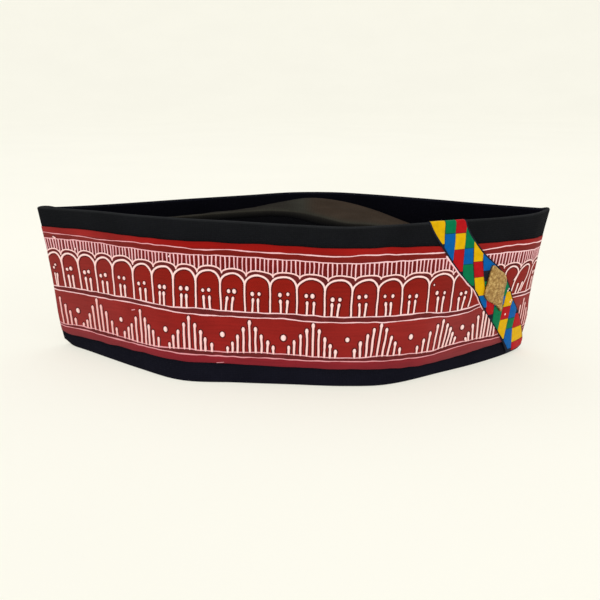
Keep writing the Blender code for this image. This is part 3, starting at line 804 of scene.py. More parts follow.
scallop_path = arc_between(valleys[:-1, 0], valleys[1:, 0], crowns,
                           (valleys[:-1, 1], valleys[1:, 1]))
arch_left = np.concatenate([FRONT_LEGS[:-1], back_legs[:-1]])
arch_right = np.concatenate([FRONT_LEGS[1:], back_legs[1:]])
arch_crowns = np.concatenate([FRONT_CROWNS, back_crowns])
arch_crowns[:, 1] -= np.interp(arch_crowns[:, 0], *ARCH_DROP)
springs = arch_crowns[:, 1] - ARCH_RISE
arch_path = arc_between(arch_left, arch_right, arch_crowns, (springs, springs))

# The dark gap runs midway between each scallop and the arch under it, as wide as they leave
over_arch = np.concatenate([scallop_path[:len(FRONT_CROWNS)], scallop_path[-BACK_ARCHES:]])
gap_along, scallop_height = over_arch[..., 0], over_arch[..., 1]
reach = np.where(gap_along < arch_crowns[:, :1], arch_crowns[:, :1] - arch_left[:, None],
                 arch_right[:, None] - arch_crowns[:, :1])
aside = np.clip(np.abs(gap_along - arch_crowns[:, :1]) / reach, 0.0, GAP_SHARE)
arch_height = springs[:, None] + ARCH_RISE * np.sqrt(1 - aside ** 2)
gap_path = np.stack([gap_along, (scallop_height + arch_height) / 2], axis=-1)
gap_slope = np.gradient(gap_path, axis=1)
gap_width = (scallop_height - arch_height) * gap_slope[..., 0] / np.hypot(*gap_slope.T).T


def upright(top_along, top_up, foot_along, foot_up, samples):
    """Straight strokes from top to foot, one for each row."""
    share = np.linspace(0.0, 1.0, samples)[None, :, None]
    top = np.stack(np.broadcast_arrays(top_along, top_up), axis=-1)[:, None]
    foot = np.stack(np.broadcast_arrays(foot_along, foot_up), axis=-1)[:, None]
    return top + (foot - top) * share


rng = np.random.default_rng(11)
legs = np.concatenate([FRONT_LEGS[1:-1], back_legs])
leg_foot = legs + rng.uniform(-LEG_STRAY, LEG_STRAY, len(legs))
leg_top = np.interp(legs, arch_crowns[:, 0], springs) + LEG_INTO_ARCH
leg_path = upright(legs, leg_top, leg_foot,
                   line_height("upper_pair_top", leg_foot) + LEG_OVER_LINE, 8)
SIDE_ARCHES = (
    # four hand-drawn arches round the right fold, which the ribbon cuts into
    ((248.6, 53.0), (250.4, 49.5), (253.0, 45.6), (253.7, 42.0), (252.6, 36.2)),
    ((275.4, 47.8), (275.6, 52.0), (277.6, 54.4), (280.6, 55.0), (284.0, 53.6), (285.6, 50.6),
     (283.4, 46.8)),
    ((283.0, 40.6), (284.2, 46.4), (286.6, 51.0), (290.0, 53.8), (293.6, 54.3), (296.4, 52.4),
     (295.8, 47.4), (293.4, 43.6), (291.4, 39.4)),
    ((298.6, 37.6), (299.4, 44.0), (300.6, 49.8), (303.4, 53.0), (306.8, 54.0), (310.2, 53.0),
     (312.6, 49.8), (313.2, 44.0), (313.4, 37.9)),
)


def smooth_path(corners, samples=24):
    """One smooth stroke through the given corners."""
    corners = np.array(corners)
    knots = np.arange(float(len(corners)))
    at = np.linspace(0.0, knots[-1], samples)
    return np.stack([spline(at, knots, corners[:, k]) for k in (0, 1)], axis=-1)[None]


arch_families = [(arch_path, *ARCH_BEAD), (leg_path, *LEG_BEAD),
                 (scallop_path, *SCALLOP_BEAD)]
arch_families += [(smooth_path(corners), *LEG_BEAD) for corners in SIDE_ARCHES]
strokes("painted_arches", arch_families, white_acrylic)

# %% Comb teeth
TOOTH_START, TOOTH_PITCH, TOOTH_STRAY, TOOTH_LEAN = 1.1, 2.25, 0.22, 0.2
TOOTH_UNDER_LINE, TOOTH_OVER_SCALLOP, TOOTH_RELIEF = 0.2, 0.1, 0.15
# Least and most width and cover, and how the width changes from a tooth's top to its foot
TOOTH_WIDTHS, TOOTH_COVERS = (0.66, 0.88), (0.84, 1.0)
TOOTH_TAPER = np.array([1.1, 1.0, 0.9, 0.95])
# The teeth are painted thicker round the right fold
TOOTH_THICKER = ((205.0, 224.0, 310.0, 330.0), (1.0, 1.25, 1.25, 1.0))

teeth = np.arange(TOOTH_START, LOOP_LENGTH - 1.0, TOOTH_PITCH)
teeth = teeth + rng.uniform(-TOOTH_STRAY, TOOTH_STRAY, len(teeth))
scallop_along = scallop_path[..., 0].ravel()
scallop_order = np.argsort(scallop_along)
scallop_up = np.interp(teeth, scallop_along[scallop_order],
                       scallop_path[..., 1].ravel()[scallop_order])
lean = rng.uniform(-TOOTH_LEAN, TOOTH_LEAN, len(teeth))
tooth_path = upright(teeth, line_height("comb", teeth) - TOOTH_UNDER_LINE, teeth + lean,
                     scallop_up + TOOTH_OVER_SCALLOP, len(TOOTH_TAPER))
tooth_width = rng.uniform(*TOOTH_WIDTHS, (len(teeth), 1)) * TOOTH_TAPER
tooth_width = tooth_width * np.interp(teeth, *TOOTH_THICKER)[:, None]
tooth_cover = rng.uniform(*TOOTH_COVERS, (len(teeth), 1))
strokes("painted_comb", [(tooth_path, tooth_width, TOOTH_RELIEF, tooth_cover)], thin_acrylic)

# %% [markdown]
# Dots, short strokes and triangles
#
# Under each arch are two dots and two short strokes that stand on the line. In the lower
# band, strokes of growing and shrinking height make triangles, like hills, with a dot
# between each two. The nozzle presses a round head where a stroke starts, and the bead
# then thins, so the widths of a stroke are large at its top.

# %% Dots and short strokes
DOTS = np.array([
    (4.25, 48.25), (6.0, 50.0), (15.25, 48.25), (18.25, 49.0), (28.5, 48.0), (31.75, 48.75),
    (41.0, 47.75), (44.5, 48.5), (55.25, 48.5), (59.0, 48.5), (69.5, 47.25), (73.5, 48.0),
    (83.75, 47.25), (86.75, 47.4), (96.5, 47.75), (99.85, 47.9), (108.5, 47.6), (111.5, 48.0),
    (121.9, 47.75), (124.75, 47.75), (134.25, 47.0), (137.75, 47.25), (148.5, 47.4),
    (152.5, 47.9), (161.75, 47.6), (164.9, 47.75), (174.9, 46.5), (178.4, 46.6),
    (187.9, 47.75), (191.1, 47.9), (201.0, 47.4), (205.15, 47.25), (214.6, 46.1),
    (218.75, 45.9), (231.35, 45.9), (236.1, 45.5), (246.75, 43.75), (249.75, 44.0),
    (304.9, 47.6), (308.3, 47.5),
])
SHORT_STROKES = np.array([
    # along at the top, along at the foot
    (3.9, 4.4), (6.2, 5.6), (15.5, 15.5), (18.75, 18.75), (29.0, 29.0), (32.5, 32.5),
    (42.0, 42.0), (45.5, 45.5), (55.75, 55.75), (59.0, 59.0), (70.25, 70.25), (74.0, 74.0),
    (83.75, 83.25), (86.25, 86.0), (96.75, 96.5), (99.5, 99.5), (108.75, 109.0),
    (111.75, 112.0), (121.0, 120.25), (124.0, 123.25), (134.5, 134.25), (137.15, 137.25),
    (148.75, 148.9), (152.25, 152.0), (162.35, 162.1), (165.65, 165.65), (174.65, 174.5),
    (178.1, 177.5), (188.15, 188.4), (191.5, 191.1), (201.75, 202.0), (204.4, 204.4),
    (214.75, 214.5), (218.25, 217.9), (232.25, 232.4), (235.75, 235.5), (245.75, 246.1),
    (249.5, 248.5), (287.6, 286.6), (291.4, 289.2), (304.8, 304.6), (308.4, 308.4),
])
# On the back the pairs stand this far each side of an arch's middle, with dots at such heights
PAIR_HALF, BACK_DOT_HEIGHTS, DOT_WIDTHS = 1.8, (47.2, 48.2), (1.75, 2.15)
# The two dots at the left fold are smaller, and the short strokes there thinner
FIRST_DOTS, FIRST_STROKES = 0.7, ((0.0, 12.0), (0.6, 1.0))
# Heights of the short strokes' tops along the loop
SHORT_TOPS = ((0.0, 170.0, 237.0, 246.0, 300.0, 616.0), (44.7, 44.2, 43.0, 41.3, 44.5, 44.9))
SHORT_WIDTH, SHORT_OVER_LINE = 1.3, 0.3
# A stroke's head: distances from its top, the width there as a share of the stroke's, and the
# most that the head takes of a short stroke
HEAD_STEPS = np.array([0.0, 0.45, 0.9, 1.4, 2.2])
HEAD_WIDTHS, HEAD_MOST = np.array([1.15, 1.3, 1.18, 0.96, 0.86]), 0.6
BLOB_HALF = 0.06
# Small drops that fell beside the pattern
SPECKS = np.array([(229.0, 50.5), (9.0, 66.6), (10.0, 66.2), (24.0, 60.9), (90.6, 63.5)])


def headed(top_along, top_up, foot_along, foot_up, width, tail=4):
    """Strokes with a round head: samples close together at the top, then even to the foot."""
    top = np.stack(np.broadcast_arrays(top_along, top_up), axis=-1)
    foot = np.stack(np.broadcast_arrays(foot_along, foot_up), axis=-1)
    length = np.linalg.norm(foot - top, axis=-1)[:, None]
    near = np.minimum(HEAD_STEPS[None], length * np.linspace(0.0, HEAD_MOST, len(HEAD_STEPS)))
    rest = near[:, -1:] + (length - near[:, -1:]) * np.linspace(0.0, 1.0, tail + 1)[None, 1:]
    reach = (np.concatenate([near, rest], axis=1) / length)[..., None]
    path = top[:, None] + (foot - top)[:, None] * reach
    profile = np.concatenate([HEAD_WIDTHS, np.full(tail, HEAD_WIDTHS[-1])])
    return path, width * np.broadcast_to(profile, path.shape[:2])


def blobs(spots):
    """Round dots, as strokes of almost no length."""
    return np.asarray(spots)[:, None] + np.array([(0.0, BLOB_HALF), (0.0, -BLOB_HALF)])[None]


back_pairs = np.stack([back_middles - PAIR_HALF, back_middles + PAIR_HALF], axis=-1).ravel()
back_dots = np.stack([back_pairs, rng.uniform(*BACK_DOT_HEIGHTS, len(back_pairs))], axis=-1)
dot_width = rng.uniform(*DOT_WIDTHS, (len(DOTS) + len(back_dots), 1))
dot_width[:2] *= FIRST_DOTS
short_top = np.concatenate([SHORT_STROKES[:, 0], back_pairs])
short_foot = np.concatenate([SHORT_STROKES[:, 1], back_pairs])
short_path, short_width = headed(
    short_top, np.interp(short_top, *SHORT_TOPS), short_foot,
    line_height("upper_pair_top", short_foot) + SHORT_OVER_LINE, SHORT_WIDTH)
short_width = short_width * np.interp(short_top, *FIRST_STROKES)[:, None]

# %% Triangles of strokes
HILLS = (
    # tops (along, up) of one triangle's strokes; the feet stand on the lower pair of lines
    ((4.75, 30.0), (8.5, 26.0), (11.75, 22.5), (15.25, 18.5)),
    ((21.5, 16.75), (25.0, 19.25), (27.75, 23.5), (31.25, 28.5), (35.0, 33.25), (38.25, 30.25),
     (41.75, 27.0), (45.75, 22.5), (49.25, 19.25)),
    ((55.75, 18.5), (59.0, 21.5), (61.75, 23.75), (65.25, 28.0), (68.9, 32.5), (72.0, 28.75),
     (74.5, 25.25), (77.5, 23.0), (81.0, 20.0)),
    ((88.25, 18.5), (90.75, 22.5), (93.75, 25.5), (97.25, 29.5), (100.15, 33.25),
     (103.4, 29.75), (106.4, 26.25), (108.75, 22.75), (112.25, 20.0)),
    ((120.5, 18.5), (123.25, 21.0), (126.0, 24.75), (129.25, 28.75), (132.5, 32.5),
     (135.65, 29.0), (138.75, 25.5), (142.0, 22.5), (145.0, 20.0)),
    ((153.0, 20.5), (155.85, 23.5), (159.25, 26.75), (162.5, 29.75), (165.65, 32.75),
     (168.6, 30.0), (171.75, 25.75), (174.5, 22.25), (177.25, 19.25)),
    ((187.0, 19.75), (189.85, 23.75), (193.35, 27.5), (196.6, 30.5), (200.35, 32.75),
     (203.4, 30.0), (206.25, 25.75), (208.6, 22.25), (211.5, 18.75)),
    ((222.25, 18.0), (226.25, 21.25), (230.0, 24.5), (234.5, 27.75), (238.0, 30.0),
     (241.0, 27.25), (243.25, 24.75), (245.0, 22.0), (247.0, 19.0)),
    ((254.25, 17.5), (255.75, 20.25), (258.0, 24.5), (261.0, 29.0), (264.25, 31.25),
     (266.75, 29.75), (269.5, 27.5), (272.0, 25.0), (274.5, 22.0)),
)
# How far each foot of the last three triangles stands left of its top
HILL_LEANS = {
    6: (0.0, 0.0, 0.35, 1.0, 1.6, 1.65, 1.75, 0.5, 0.1),
    7: (0.1, 0.6, 0.9, 1.3, 1.5, 1.75, 1.75, 1.0, 0.75),
    8: (-0.75, -0.75, -1.25, -1.25, -0.75, -0.25, -0.5, -0.25, -0.5),
}
HILL_DOTS = np.array([(18.25, 24.25), (53.5, 25.25), (86.1, 25.5), (117.9, 25.25),
                      (150.25, 25.0), (183.15, 25.5), (217.6, 24.4), (251.0, 24.5),
                      (285.0, 24.6)])
# The back's triangles: how many, the first one's middle, from middle to middle, stroke to
# stroke, how far the tops stray, and where the back's strokes start and end
BACK_HILLS, FIRST_MIDDLE, HILL_PITCH, HILL_STEP, TOP_STRAY = 9, 299.0, 33.2, 3.25, 0.4
BACK_STROKES_FROM, BACK_STROKES_TO, BACK_DOT_UP = 287.0, LOOP_LENGTH - 1.5, 25.0
HILL_PROFILE = np.array([18.5, 22.25, 25.5, 29.4, 33.0, 29.8, 26.0, 22.6, 19.4])
HILL_WIDTH, HILL_OVER_LINE, HILL_RELIEF = 1.5, 0.2, 0.28
# The paint is thin at the left and right folds, where the strokes crowd finely together
HILL_COVER = ((20.0, 140.0, 270.0, 292.0, 318.0, 330.0), (0.72, 1.0, 1.0, 0.85, 0.85, 1.0))
HILL_FINER = ((0.0, 14.0, 275.0, 294.0, 318.0, 330.0), (0.75, 1.0, 1.0, 0.75, 0.75, 1.0))
FOOT_COVER = 0.85
HILL_DOT_WIDTHS, HILL_DOT_RELIEF, DOT_RELIEF, SHORT_RELIEF = (2.5, 3.0), 0.34, 0.3, 0.24
SPECK_BEAD = (1.0, 0.2)
# Two stray dashes: along and up at one end and at the other, then their widths and the rest
DASHES = np.array([(62.6, 32.0, 64.9, 32.6), (114.6, 10.5, 118.4, 10.8)])
DASH_WIDTHS, DASH_RELIEF, DASH_COVER = np.array([[0.5], [0.3]]), 0.08, 0.7

tops = np.concatenate([np.array(hill) for hill in HILLS])
leans = np.concatenate([np.array(HILL_LEANS.get(k, (0.0,) * len(hill)))
                        for k, hill in enumerate(HILLS)])
hill_middles = FIRST_MIDDLE + HILL_PITCH * np.arange(BACK_HILLS + 1)
from_middle = HILL_STEP * (np.arange(len(HILL_PROFILE)) - len(HILL_PROFILE) // 2)
back_along = (hill_middles[:, None] + from_middle).ravel()
back_up = (np.tile(HILL_PROFILE, len(hill_middles))
           + rng.uniform(-TOP_STRAY, TOP_STRAY, len(back_along)))
on_back = (back_along > BACK_STROKES_FROM) & (back_along < BACK_STROKES_TO)
back_tops = np.stack([back_along, back_up], axis=-1)[on_back]
between = hill_middles[:-1] + HILL_PITCH / 2
all_tops = np.concatenate([tops, back_tops])
all_feet = all_tops[:, 0] - np.concatenate([leans, np.zeros(len(back_tops))])
hill_path, hill_width = headed(all_tops[:, 0], all_tops[:, 1], all_feet,
                               line_height("lower_pair_top", all_feet) + HILL_OVER_LINE,
                               HILL_WIDTH)
hill_width = hill_width * np.interp(all_tops[:, 0], *HILL_FINER)[:, None]
hill_cover = (np.interp(all_tops[:, 0], *HILL_COVER)[:, None]
              * np.linspace(1.0, FOOT_COVER, hill_path.shape[1]))
hill_dots = np.concatenate([
    HILL_DOTS, np.stack([between, np.full(len(between), BACK_DOT_UP)], axis=-1)])
hill_dot_width = rng.uniform(*HILL_DOT_WIDTHS, (len(hill_dots), 1))
hill_families = [(hill_path, hill_width, HILL_RELIEF, hill_cover),
                 (blobs(hill_dots), hill_dot_width, HILL_DOT_RELIEF)]
dot_families = [(blobs(np.concatenate([DOTS, back_dots])), dot_width, DOT_RELIEF),
                (short_path, short_width, SHORT_RELIEF), (blobs(SPECKS), *SPECK_BEAD)]
strokes("painted_triangles", hill_families, white_acrylic)
strokes("painted_dashes", [(upright(*DASHES.T, 4), DASH_WIDTHS, DASH_RELIEF, DASH_COVER)],
        thin_acrylic)
strokes("painted_dots", dot_families, white_acrylic)

# %% [markdown]
# Painted shade edges and dark gaps
#
# Every white stroke has a fine dark maroon edge, a slightly wider flat stroke laid under it:
# this is painted shade, standing in for the dark rim round each bead. A lighter maroon fills
# the gap between each scallop and its arch, and the space inside each pair of lines.

# %% Maroon strokes
# How far the painted shade edge shows beyond each white bead, in mm, and its relief
EDGE_SHOWN, EDGE_RELIEF = 0.55, 0.05
# Share of a gap's width that is filled, and relief: over the arches, and in a pair of lines
GAP_FILL, GAP_RELIEF, PAIR_FILL, PAIR_RELIEF = 0.95, 0.06, 0.8, 0.04
shade_edge_families = [(path, np.asarray(width) + 2 * EDGE_SHOWN, EDGE_RELIEF)
                 for path, width, *_ in arch_families + hill_families + dot_families]
strokes("painted_shade_edges", shade_edge_families, shade_edge_maroon)
gap_families = [(gap_path, gap_width * GAP_FILL, GAP_RELIEF)]
for top_line, foot_line in (("upper_pair_top", "upper_pair_foot"),
                            ("lower_pair_top", "lower_pair_foot")):
    upper, lower = line_height(top_line, loop_arc), line_height(foot_line, loop_arc)
    gap_families.append((loop_path((upper + lower) / 2, loop_arc),
                         (upper - lower)[None] * PAIR_FILL, PAIR_RELIEF))
strokes("painted_dark_gaps", gap_families, maroon_wash)

# %% [markdown]
# The crown
#
# Inside the band a black lining climbs and then leans in to the crown's seam; it is coloured
# near black, darker than the band, as painted shade inside the cap. The top panel is a soft
# brown-grey woollen cloth, dented in the middle at the front, so that it shows a rounded
# ridge, painted lighter along the ridge and darker where it turns down. Both are sheets
# between two curves: the side between the band and the seam, the top between the front and
# back seams. Solidify gives them their thickness.

# %% Lining and wool materials
def dark_cloth(name, low_colour, high_colour, depth_mm, roughness, specular):
    """Dark woven cloth, from one colour between its threads to another on top of them."""
    cloth, shader = new_material(name, roughness, specular)
    _, relief = add_weave(cloth, shader, depth_mm)
    tone = add_node(cloth, "ShaderNodeValToRGB", links={"Fac": relief.outputs[0]},
                    stops=[(0.2, linear(low_colour)), (1.0, linear(high_colour))])
    feed(shader, "Base Color", tone.outputs["Color"])
    return cloth


# The lining's near-black colour is partly its black cloth and partly painted shade
lining = dark_cloth("black_cotton_lining_in_painted_shade", "#040405", "#09090c", depth_mm=0.1,
                    roughness=0.95, specular=0.01)
wool, wool_shader = new_material("brown_grey_felted_wool", roughness=0.95, specular=0.01)
wool_uv, wool_relief = add_weave(wool, wool_shader, depth_mm=0.16, grain_mm=0.8)
wool_cloud = add_node(wool, "ShaderNodeTexNoise", {"Scale": 0.06, "Detail": 4.0},
                      {"Vector": wool_uv.outputs["UV"]})
wool_fibre = add_node(wool, "ShaderNodeMath", links={
    0: wool_cloud.outputs["Fac"], 1: wool_relief.outputs[0]}, operation="MULTIPLY")
wool_lit = add_node(wool, "ShaderNodeAttribute", attribute_name="lit")
# Painted light and shade: the lit value runs from near black in shade, through a grey highlight
# colour, to brown on top
wool_shade = add_node(
    wool, "ShaderNodeValToRGB", links={"Fac": wool_lit.outputs["Fac"]},
    stops=[(0.0, linear("#0b0b0d")), (1.0, linear("#3b3129")), (0.3, linear("#161514")),
           (0.6, linear("#1f1e1c")), (0.8, linear("#2b2824")), (0.92, linear("#36352f"))])
wool_tone = add_node(wool, "ShaderNodeMix", {0: 0.4}, {
    6: wool_shade.outputs["Color"], 7: wool_fibre.outputs[0]},
    data_type="RGBA", blend_type="OVERLAY")
feed(wool_shader, "Base Color", wool_tone.outputs[2])

# %% Crown side
CROWN_THICKNESS, CROWN_GAP, CROWN_FOOT = 1.2, 0.3, 0.4
CROWN_INSET = BAND_THICKNESS + CROWN_GAP
CROWN_FOLD_HEIGHT, CROWN_SHOULDER = 36.0, 20.0
# Heights of the lining's lower rows, and its run from hem to seam, which its weave follows
SIDE_HEIGHTS, SIDE_RUN = (CROWN_FOOT, 9.0, 18.0, 27.0), 95.0
SEAM = np.array([
    # x, front y, front z, back y, back z
    (-106.0, -1.0, 65.0, 4.0, 65.0), (-80.0, -18.0, 78.5, 14.0, 72.0),
    (-54.0, -17.0, 81.3, 23.0, 74.8), (-30.0, -4.0, 81.4, 31.0, 77.0),
    (-9.0, 2.0, 81.3, 36.0, 80.5), (8.0, 0.0, 79.8, 38.0, 82.8),
    (27.0, -16.0, 77.6, 37.0, 81.2), (45.0, -22.0, 77.0, 33.0, 77.2),
    (66.0, -25.0, 72.0, 24.0, 70.5), (88.0, -16.0, 65.0, 11.0, 65.0),
    (108.0, -5.0, 61.0, 1.0, 61.0),
])


def seam_points(share, back):
    """The crown's seam: smooth curves for depth and height over its length, front or back."""
    x = np.interp(share, (0.0, 1.0), SEAM[[0, -1], 0])
    front_y, front_z, back_y, back_z = (spline(x, SEAM[:, 0], SEAM[:, k]) for k in (1, 2, 3, 4))
    return np.stack([x, np.where(back, back_y, front_y), np.where(back, back_z, front_z)], -1)


side_arc = ARC[:-1:3]
side_station = np.arange(STATIONS)[::3]
behind = side_station > HALF
side_share = np.where(behind, STATIONS - side_station, side_station) / HALF
fold = wall_points(side_arc, CROWN_FOLD_HEIGHT, CROWN_INSET)
shoulder = wall_points(side_arc, CROWN_FOLD_HEIGHT + CROWN_SHOULDER, CROWN_INSET)
seam = seam_points(side_share, behind) - (0.0, 0.0, CROWN_THICKNESS + CROWN_GAP)
rings = [wall_points(side_arc, height, CROWN_INSET) for height in SIDE_HEIGHTS]
rings += [(1 - v) ** 2 * fold + 2 * v * (1 - v) * shoulder + v ** 2 * seam
          for v in np.linspace(0.0, 1.0, 14)]
side_points = np.array(rings)
quads, rows, columns = grid_quads(len(rings), len(side_arc), False, True)
side_climb = np.linspace(0.0, SIDE_RUN, len(rings))
crown_side = new_piece("crown_side_cloth", side_points, quads, lining,
                       uv=np.stack([np.append(side_arc, LOOP_LENGTH)[columns],
                                    side_climb[rows]], axis=-1), node="crown_side")
thicken(crown_side, CROWN_THICKNESS)

# %% Crown top
TOP_ROWS, TOP_COLUMNS, ROW_CROWDING = 34, 120, 1.3
# The top bulges by so many mm and is creased by so many, with creases that run longer in x
CROWN_BELLY, CREASE_DEPTH, CREASE_LENGTH, CREASE_STRETCH = 0.4, 0.45, 16.0, 0.6
# Its front edge sinks by so many mm, which fades out over a thirtieth of the way across
EDGE_SINK, EDGE_SINK_FADE = 0.5, 30.0
# Past the seam it turns down this far, in steps, and sinks by so much at the last
ROLL_REACH, ROLL_SINK = np.array([4.2, 3.4, 2.6, 1.9, 1.3, 0.8, 0.4]), 0.81
# It turns down furthest where the dent ends: by what share more, at what x, over what reach
ROLL_MORE, ROLL_MORE_AT, ROLL_MORE_REACH = 0.8, 12.0, 9.0
# Along x the wool's lit value runs from dark grey at one side to brown at the other: x, and the
# share of the brown colour
LIT_ALONG = ((-70.0, -62.0, -48.0, -20.0, -6.0, 12.0), (0.3, 0.62, 0.7, 0.77, 0.8, 1.0))
RIDGE_LIT, RIDGE_FADE, ROLL_FADE, FAR_LIT = 0.92, 14.0, 1.4, 0.62

top_share = (1 - np.cos(np.linspace(0.0, math.pi, TOP_COLUMNS))) / 2
seam_front, seam_back = seam_points(top_share, False), seam_points(top_share, True)
across = np.linspace(0.0, 1.0, TOP_ROWS)[:, None] ** ROW_CROWDING
sheet_points = seam_front * (1 - across[..., None]) + seam_back * across[..., None]
belly = 4 * across * (1 - across) * np.sin(math.pi * top_share)
crease = ripples(sheet_points[..., 0] * CREASE_STRETCH, sheet_points[..., 1], CREASE_LENGTH,
                 seed=9)
sheet_points[..., 2] += CROWN_BELLY * belly + CREASE_DEPTH * belly * crease
sheet_points[..., 2] -= (EDGE_SINK * np.exp(-across * EDGE_SINK_FADE)
                         * np.sin(math.pi * top_share))
# The wool turns down over the front seam for a few millimetres, and sinks to the lining
front_shoulder = wall_points(np.interp(top_share * HALF, np.arange(STATIONS + 1.0), ARC),
                             CROWN_FOLD_HEIGHT + CROWN_SHOULDER, CROWN_INSET)
outward = front_shoulder - seam_front
outward /= np.linalg.norm(outward, axis=-1, keepdims=True)
roll_room = np.sin(math.pi * top_share) ** 0.5
roll_wide = roll_room * (1 + ROLL_MORE * np.exp(
    -((seam_front[:, 0] - ROLL_MORE_AT) / ROLL_MORE_REACH) ** 2))
roll_share = ROLL_REACH[:, None] / ROLL_REACH[0]
roll = seam_front + outward * (ROLL_REACH[:, None] * roll_wide)[..., None]
roll[..., 2] -= EDGE_SINK * roll_room + ROLL_SINK * roll_share ** 2
top_points = np.concatenate([roll, sheet_points])
# Painted light and shade: along the ridge the wool is painted lighter as a highlight, and dark
# where it turns down into shade
lit_along = np.interp(seam_front[:, 0], *LIT_ALONG)
ridge_lit = lit_along + (RIDGE_LIT - lit_along) * np.exp(-RIDGE_FADE * across)
roll_lit = ridge_lit[0] * (1 - roll_share) ** ROLL_FADE
far_lit = np.clip(lit_along / FAR_LIT, 0.0, 1.0)
top_lit = np.concatenate([roll_lit, ridge_lit]) * far_lit
quads, _, _ = grid_quads(len(top_points), TOP_COLUMNS)
crown_top = new_piece("crown_top_cloth", top_points, quads, wool,
                      uv=top_points.reshape(-1, 3)[quads][..., :2],
                      values={"lit": top_lit}, node="crown_top")
thicken(crown_top, CROWN_THICKNESS)

# %% [markdown]
# Patchwork ribbon
#
# Small patches of bright satin are sewn side by side on a dark strip and bound at both
# edges. The strip lies slantwise on the band, turns over the rim at its top and is tucked
# in there. Each patch is a thin cushion of its own: domed in its middle and sunk at its
# seams, so the dark strip shows as a fine line between patches.

# %% Ribbon surface
RIBBON_CLEAR = 0.55
RIBBON_HUG, RIM_SQUEEZE = 0.05, 0.6
RIBBON_THICKNESS = 0.35
RIBBON_HEM, RIBBON_TUCK = 1.0, 7.0
# Way up at which the ribbon draws close for the rim, and over what length it does
RIM_BLEND_AT, RIM_BLEND = 74.5, 1.2
RIBBON_EDGES = np.array([
    # way up the wall and over the rim, left edge, right edge
    (1.0, 290.4, 313.0), (14.0, 280.2, 303.2), (30.0, 265.8, 290.0), (36.5, 260.4, 284.3),
    (43.0, 256.2, 280.4), (52.0, 246.9, 273.2), (66.0, 234.1, 256.2), (83.0, 222.0, 244.1),
    (87.0, 220.4, 243.2), (96.0, 214.6, 237.2),
])


def ribbon_edge(along, column):
    """Distance along the loop of the ribbon's left (1) or right (2) edge."""
    return spline(along, RIBBON_EDGES[:, 0], RIBBON_EDGES[:, column])


def ribbon_points(arc, along, lift):
    """Points of the ribbon: up the wall clear of the paint, round the rim, down inside."""
    on_wall = 1 / (1 + np.exp((along - RIM_BLEND_AT) / RIM_BLEND))
    radius = (RIM_RADIUS + RIBBON_HUG + (RIBBON_CLEAR - RIBBON_HUG) * on_wall
              + lift * (RIM_SQUEEZE + (1 - RIM_SQUEEZE) * on_wall))
    turn = np.clip((along - RIM_START) / (RIM_RADIUS + RIBBON_HUG), 0.0, math.pi)
    hung = np.maximum(along - RIM_START - math.pi * (RIM_RADIUS + RIBBON_HUG), 0.0)
    height = np.minimum(along, RIM_START) + radius * np.sin(turn) - hung
    return wall_points(arc, height, RIM_RADIUS - radius * np.cos(turn))


# %% Satin and binding materials
SATIN_COLOURS = {"yellow": "#e4b200", "green": "#00774d", "red": "#b6131a", "blue": "#005eac"}
# The satin's darker clouds, as a share of its colour
SATIN_SHADE = 0.84
satins = {}
for satin_name, satin_colour in SATIN_COLOURS.items():
    satin, satin_shader = new_material(f"{satin_name}_satin", roughness=0.5, specular=0.05)
    # Satin's threads are finer, so they are drawn closer together
    satin_uv, _ = add_weave(satin, satin_shader, depth_mm=0.05, wave_scale=WAVE_SCALE * 1.5)
    satin_dark = (*(SATIN_SHADE * c for c in linear(satin_colour)[:3]), 1.0)
    satin_cloud = add_node(satin, "ShaderNodeTexNoise", {"Scale": 0.35, "Detail": 4.0},
                           {"Vector": satin_uv.outputs["UV"]})
    satin_tone = add_node(satin, "ShaderNodeValToRGB",
                          links={"Fac": satin_cloud.outputs["Fac"]},
                          stops=[(0.3, satin_dark), (0.6, linear(satin_colour))])
    feed(satin_shader, "Base Color", satin_tone.outputs["Color"])
    satins[satin_name] = satin

binding = dark_cloth("dark_blue_black_binding", "#0e1017", "#222736", depth_mm=0.08,
                     roughness=0.8, specular=0.08)

# %% Ribbon strip
RIBBON_END = RIM_START + math.pi * (RIM_RADIUS + RIBBON_HUG) + RIBBON_TUCK
# The strip's rows, which lie closer together from just under the rim on
FINE_FROM, FINE_GAP, WALL_ROWS, RIM_ROWS = 79.0, 0.4, 90, 34
strip_along = np.concatenate([
    np.linspace(RIBBON_HEM, FINE_FROM, WALL_ROWS),
    np.linspace(FINE_FROM + FINE_GAP, RIBBON_END, RIM_ROWS)])[:, None]
strip_share = np.linspace(0.0, 1.0, 25)[None, :]
strip_arc = (ribbon_edge(strip_along, 1) * (1 - strip_share)
             + ribbon_edge(strip_along, 2) * strip_share)
strip_front = ribbon_points(strip_arc, np.broadcast_to(strip_along, strip_arc.shape),
                            RIBBON_THICKNESS)
quads, _, _ = grid_quads(*strip_arc.shape)
strip_uv = np.stack([strip_arc, np.broadcast_to(strip_along, strip_arc.shape)], axis=-1)
ribbon = new_piece("ribbon_strip", strip_front, quads, binding,
                   uv=strip_uv.reshape(-1, 2)[quads], node="patchwork_ribbon")
thicken(ribbon, RIBBON_THICKNESS)

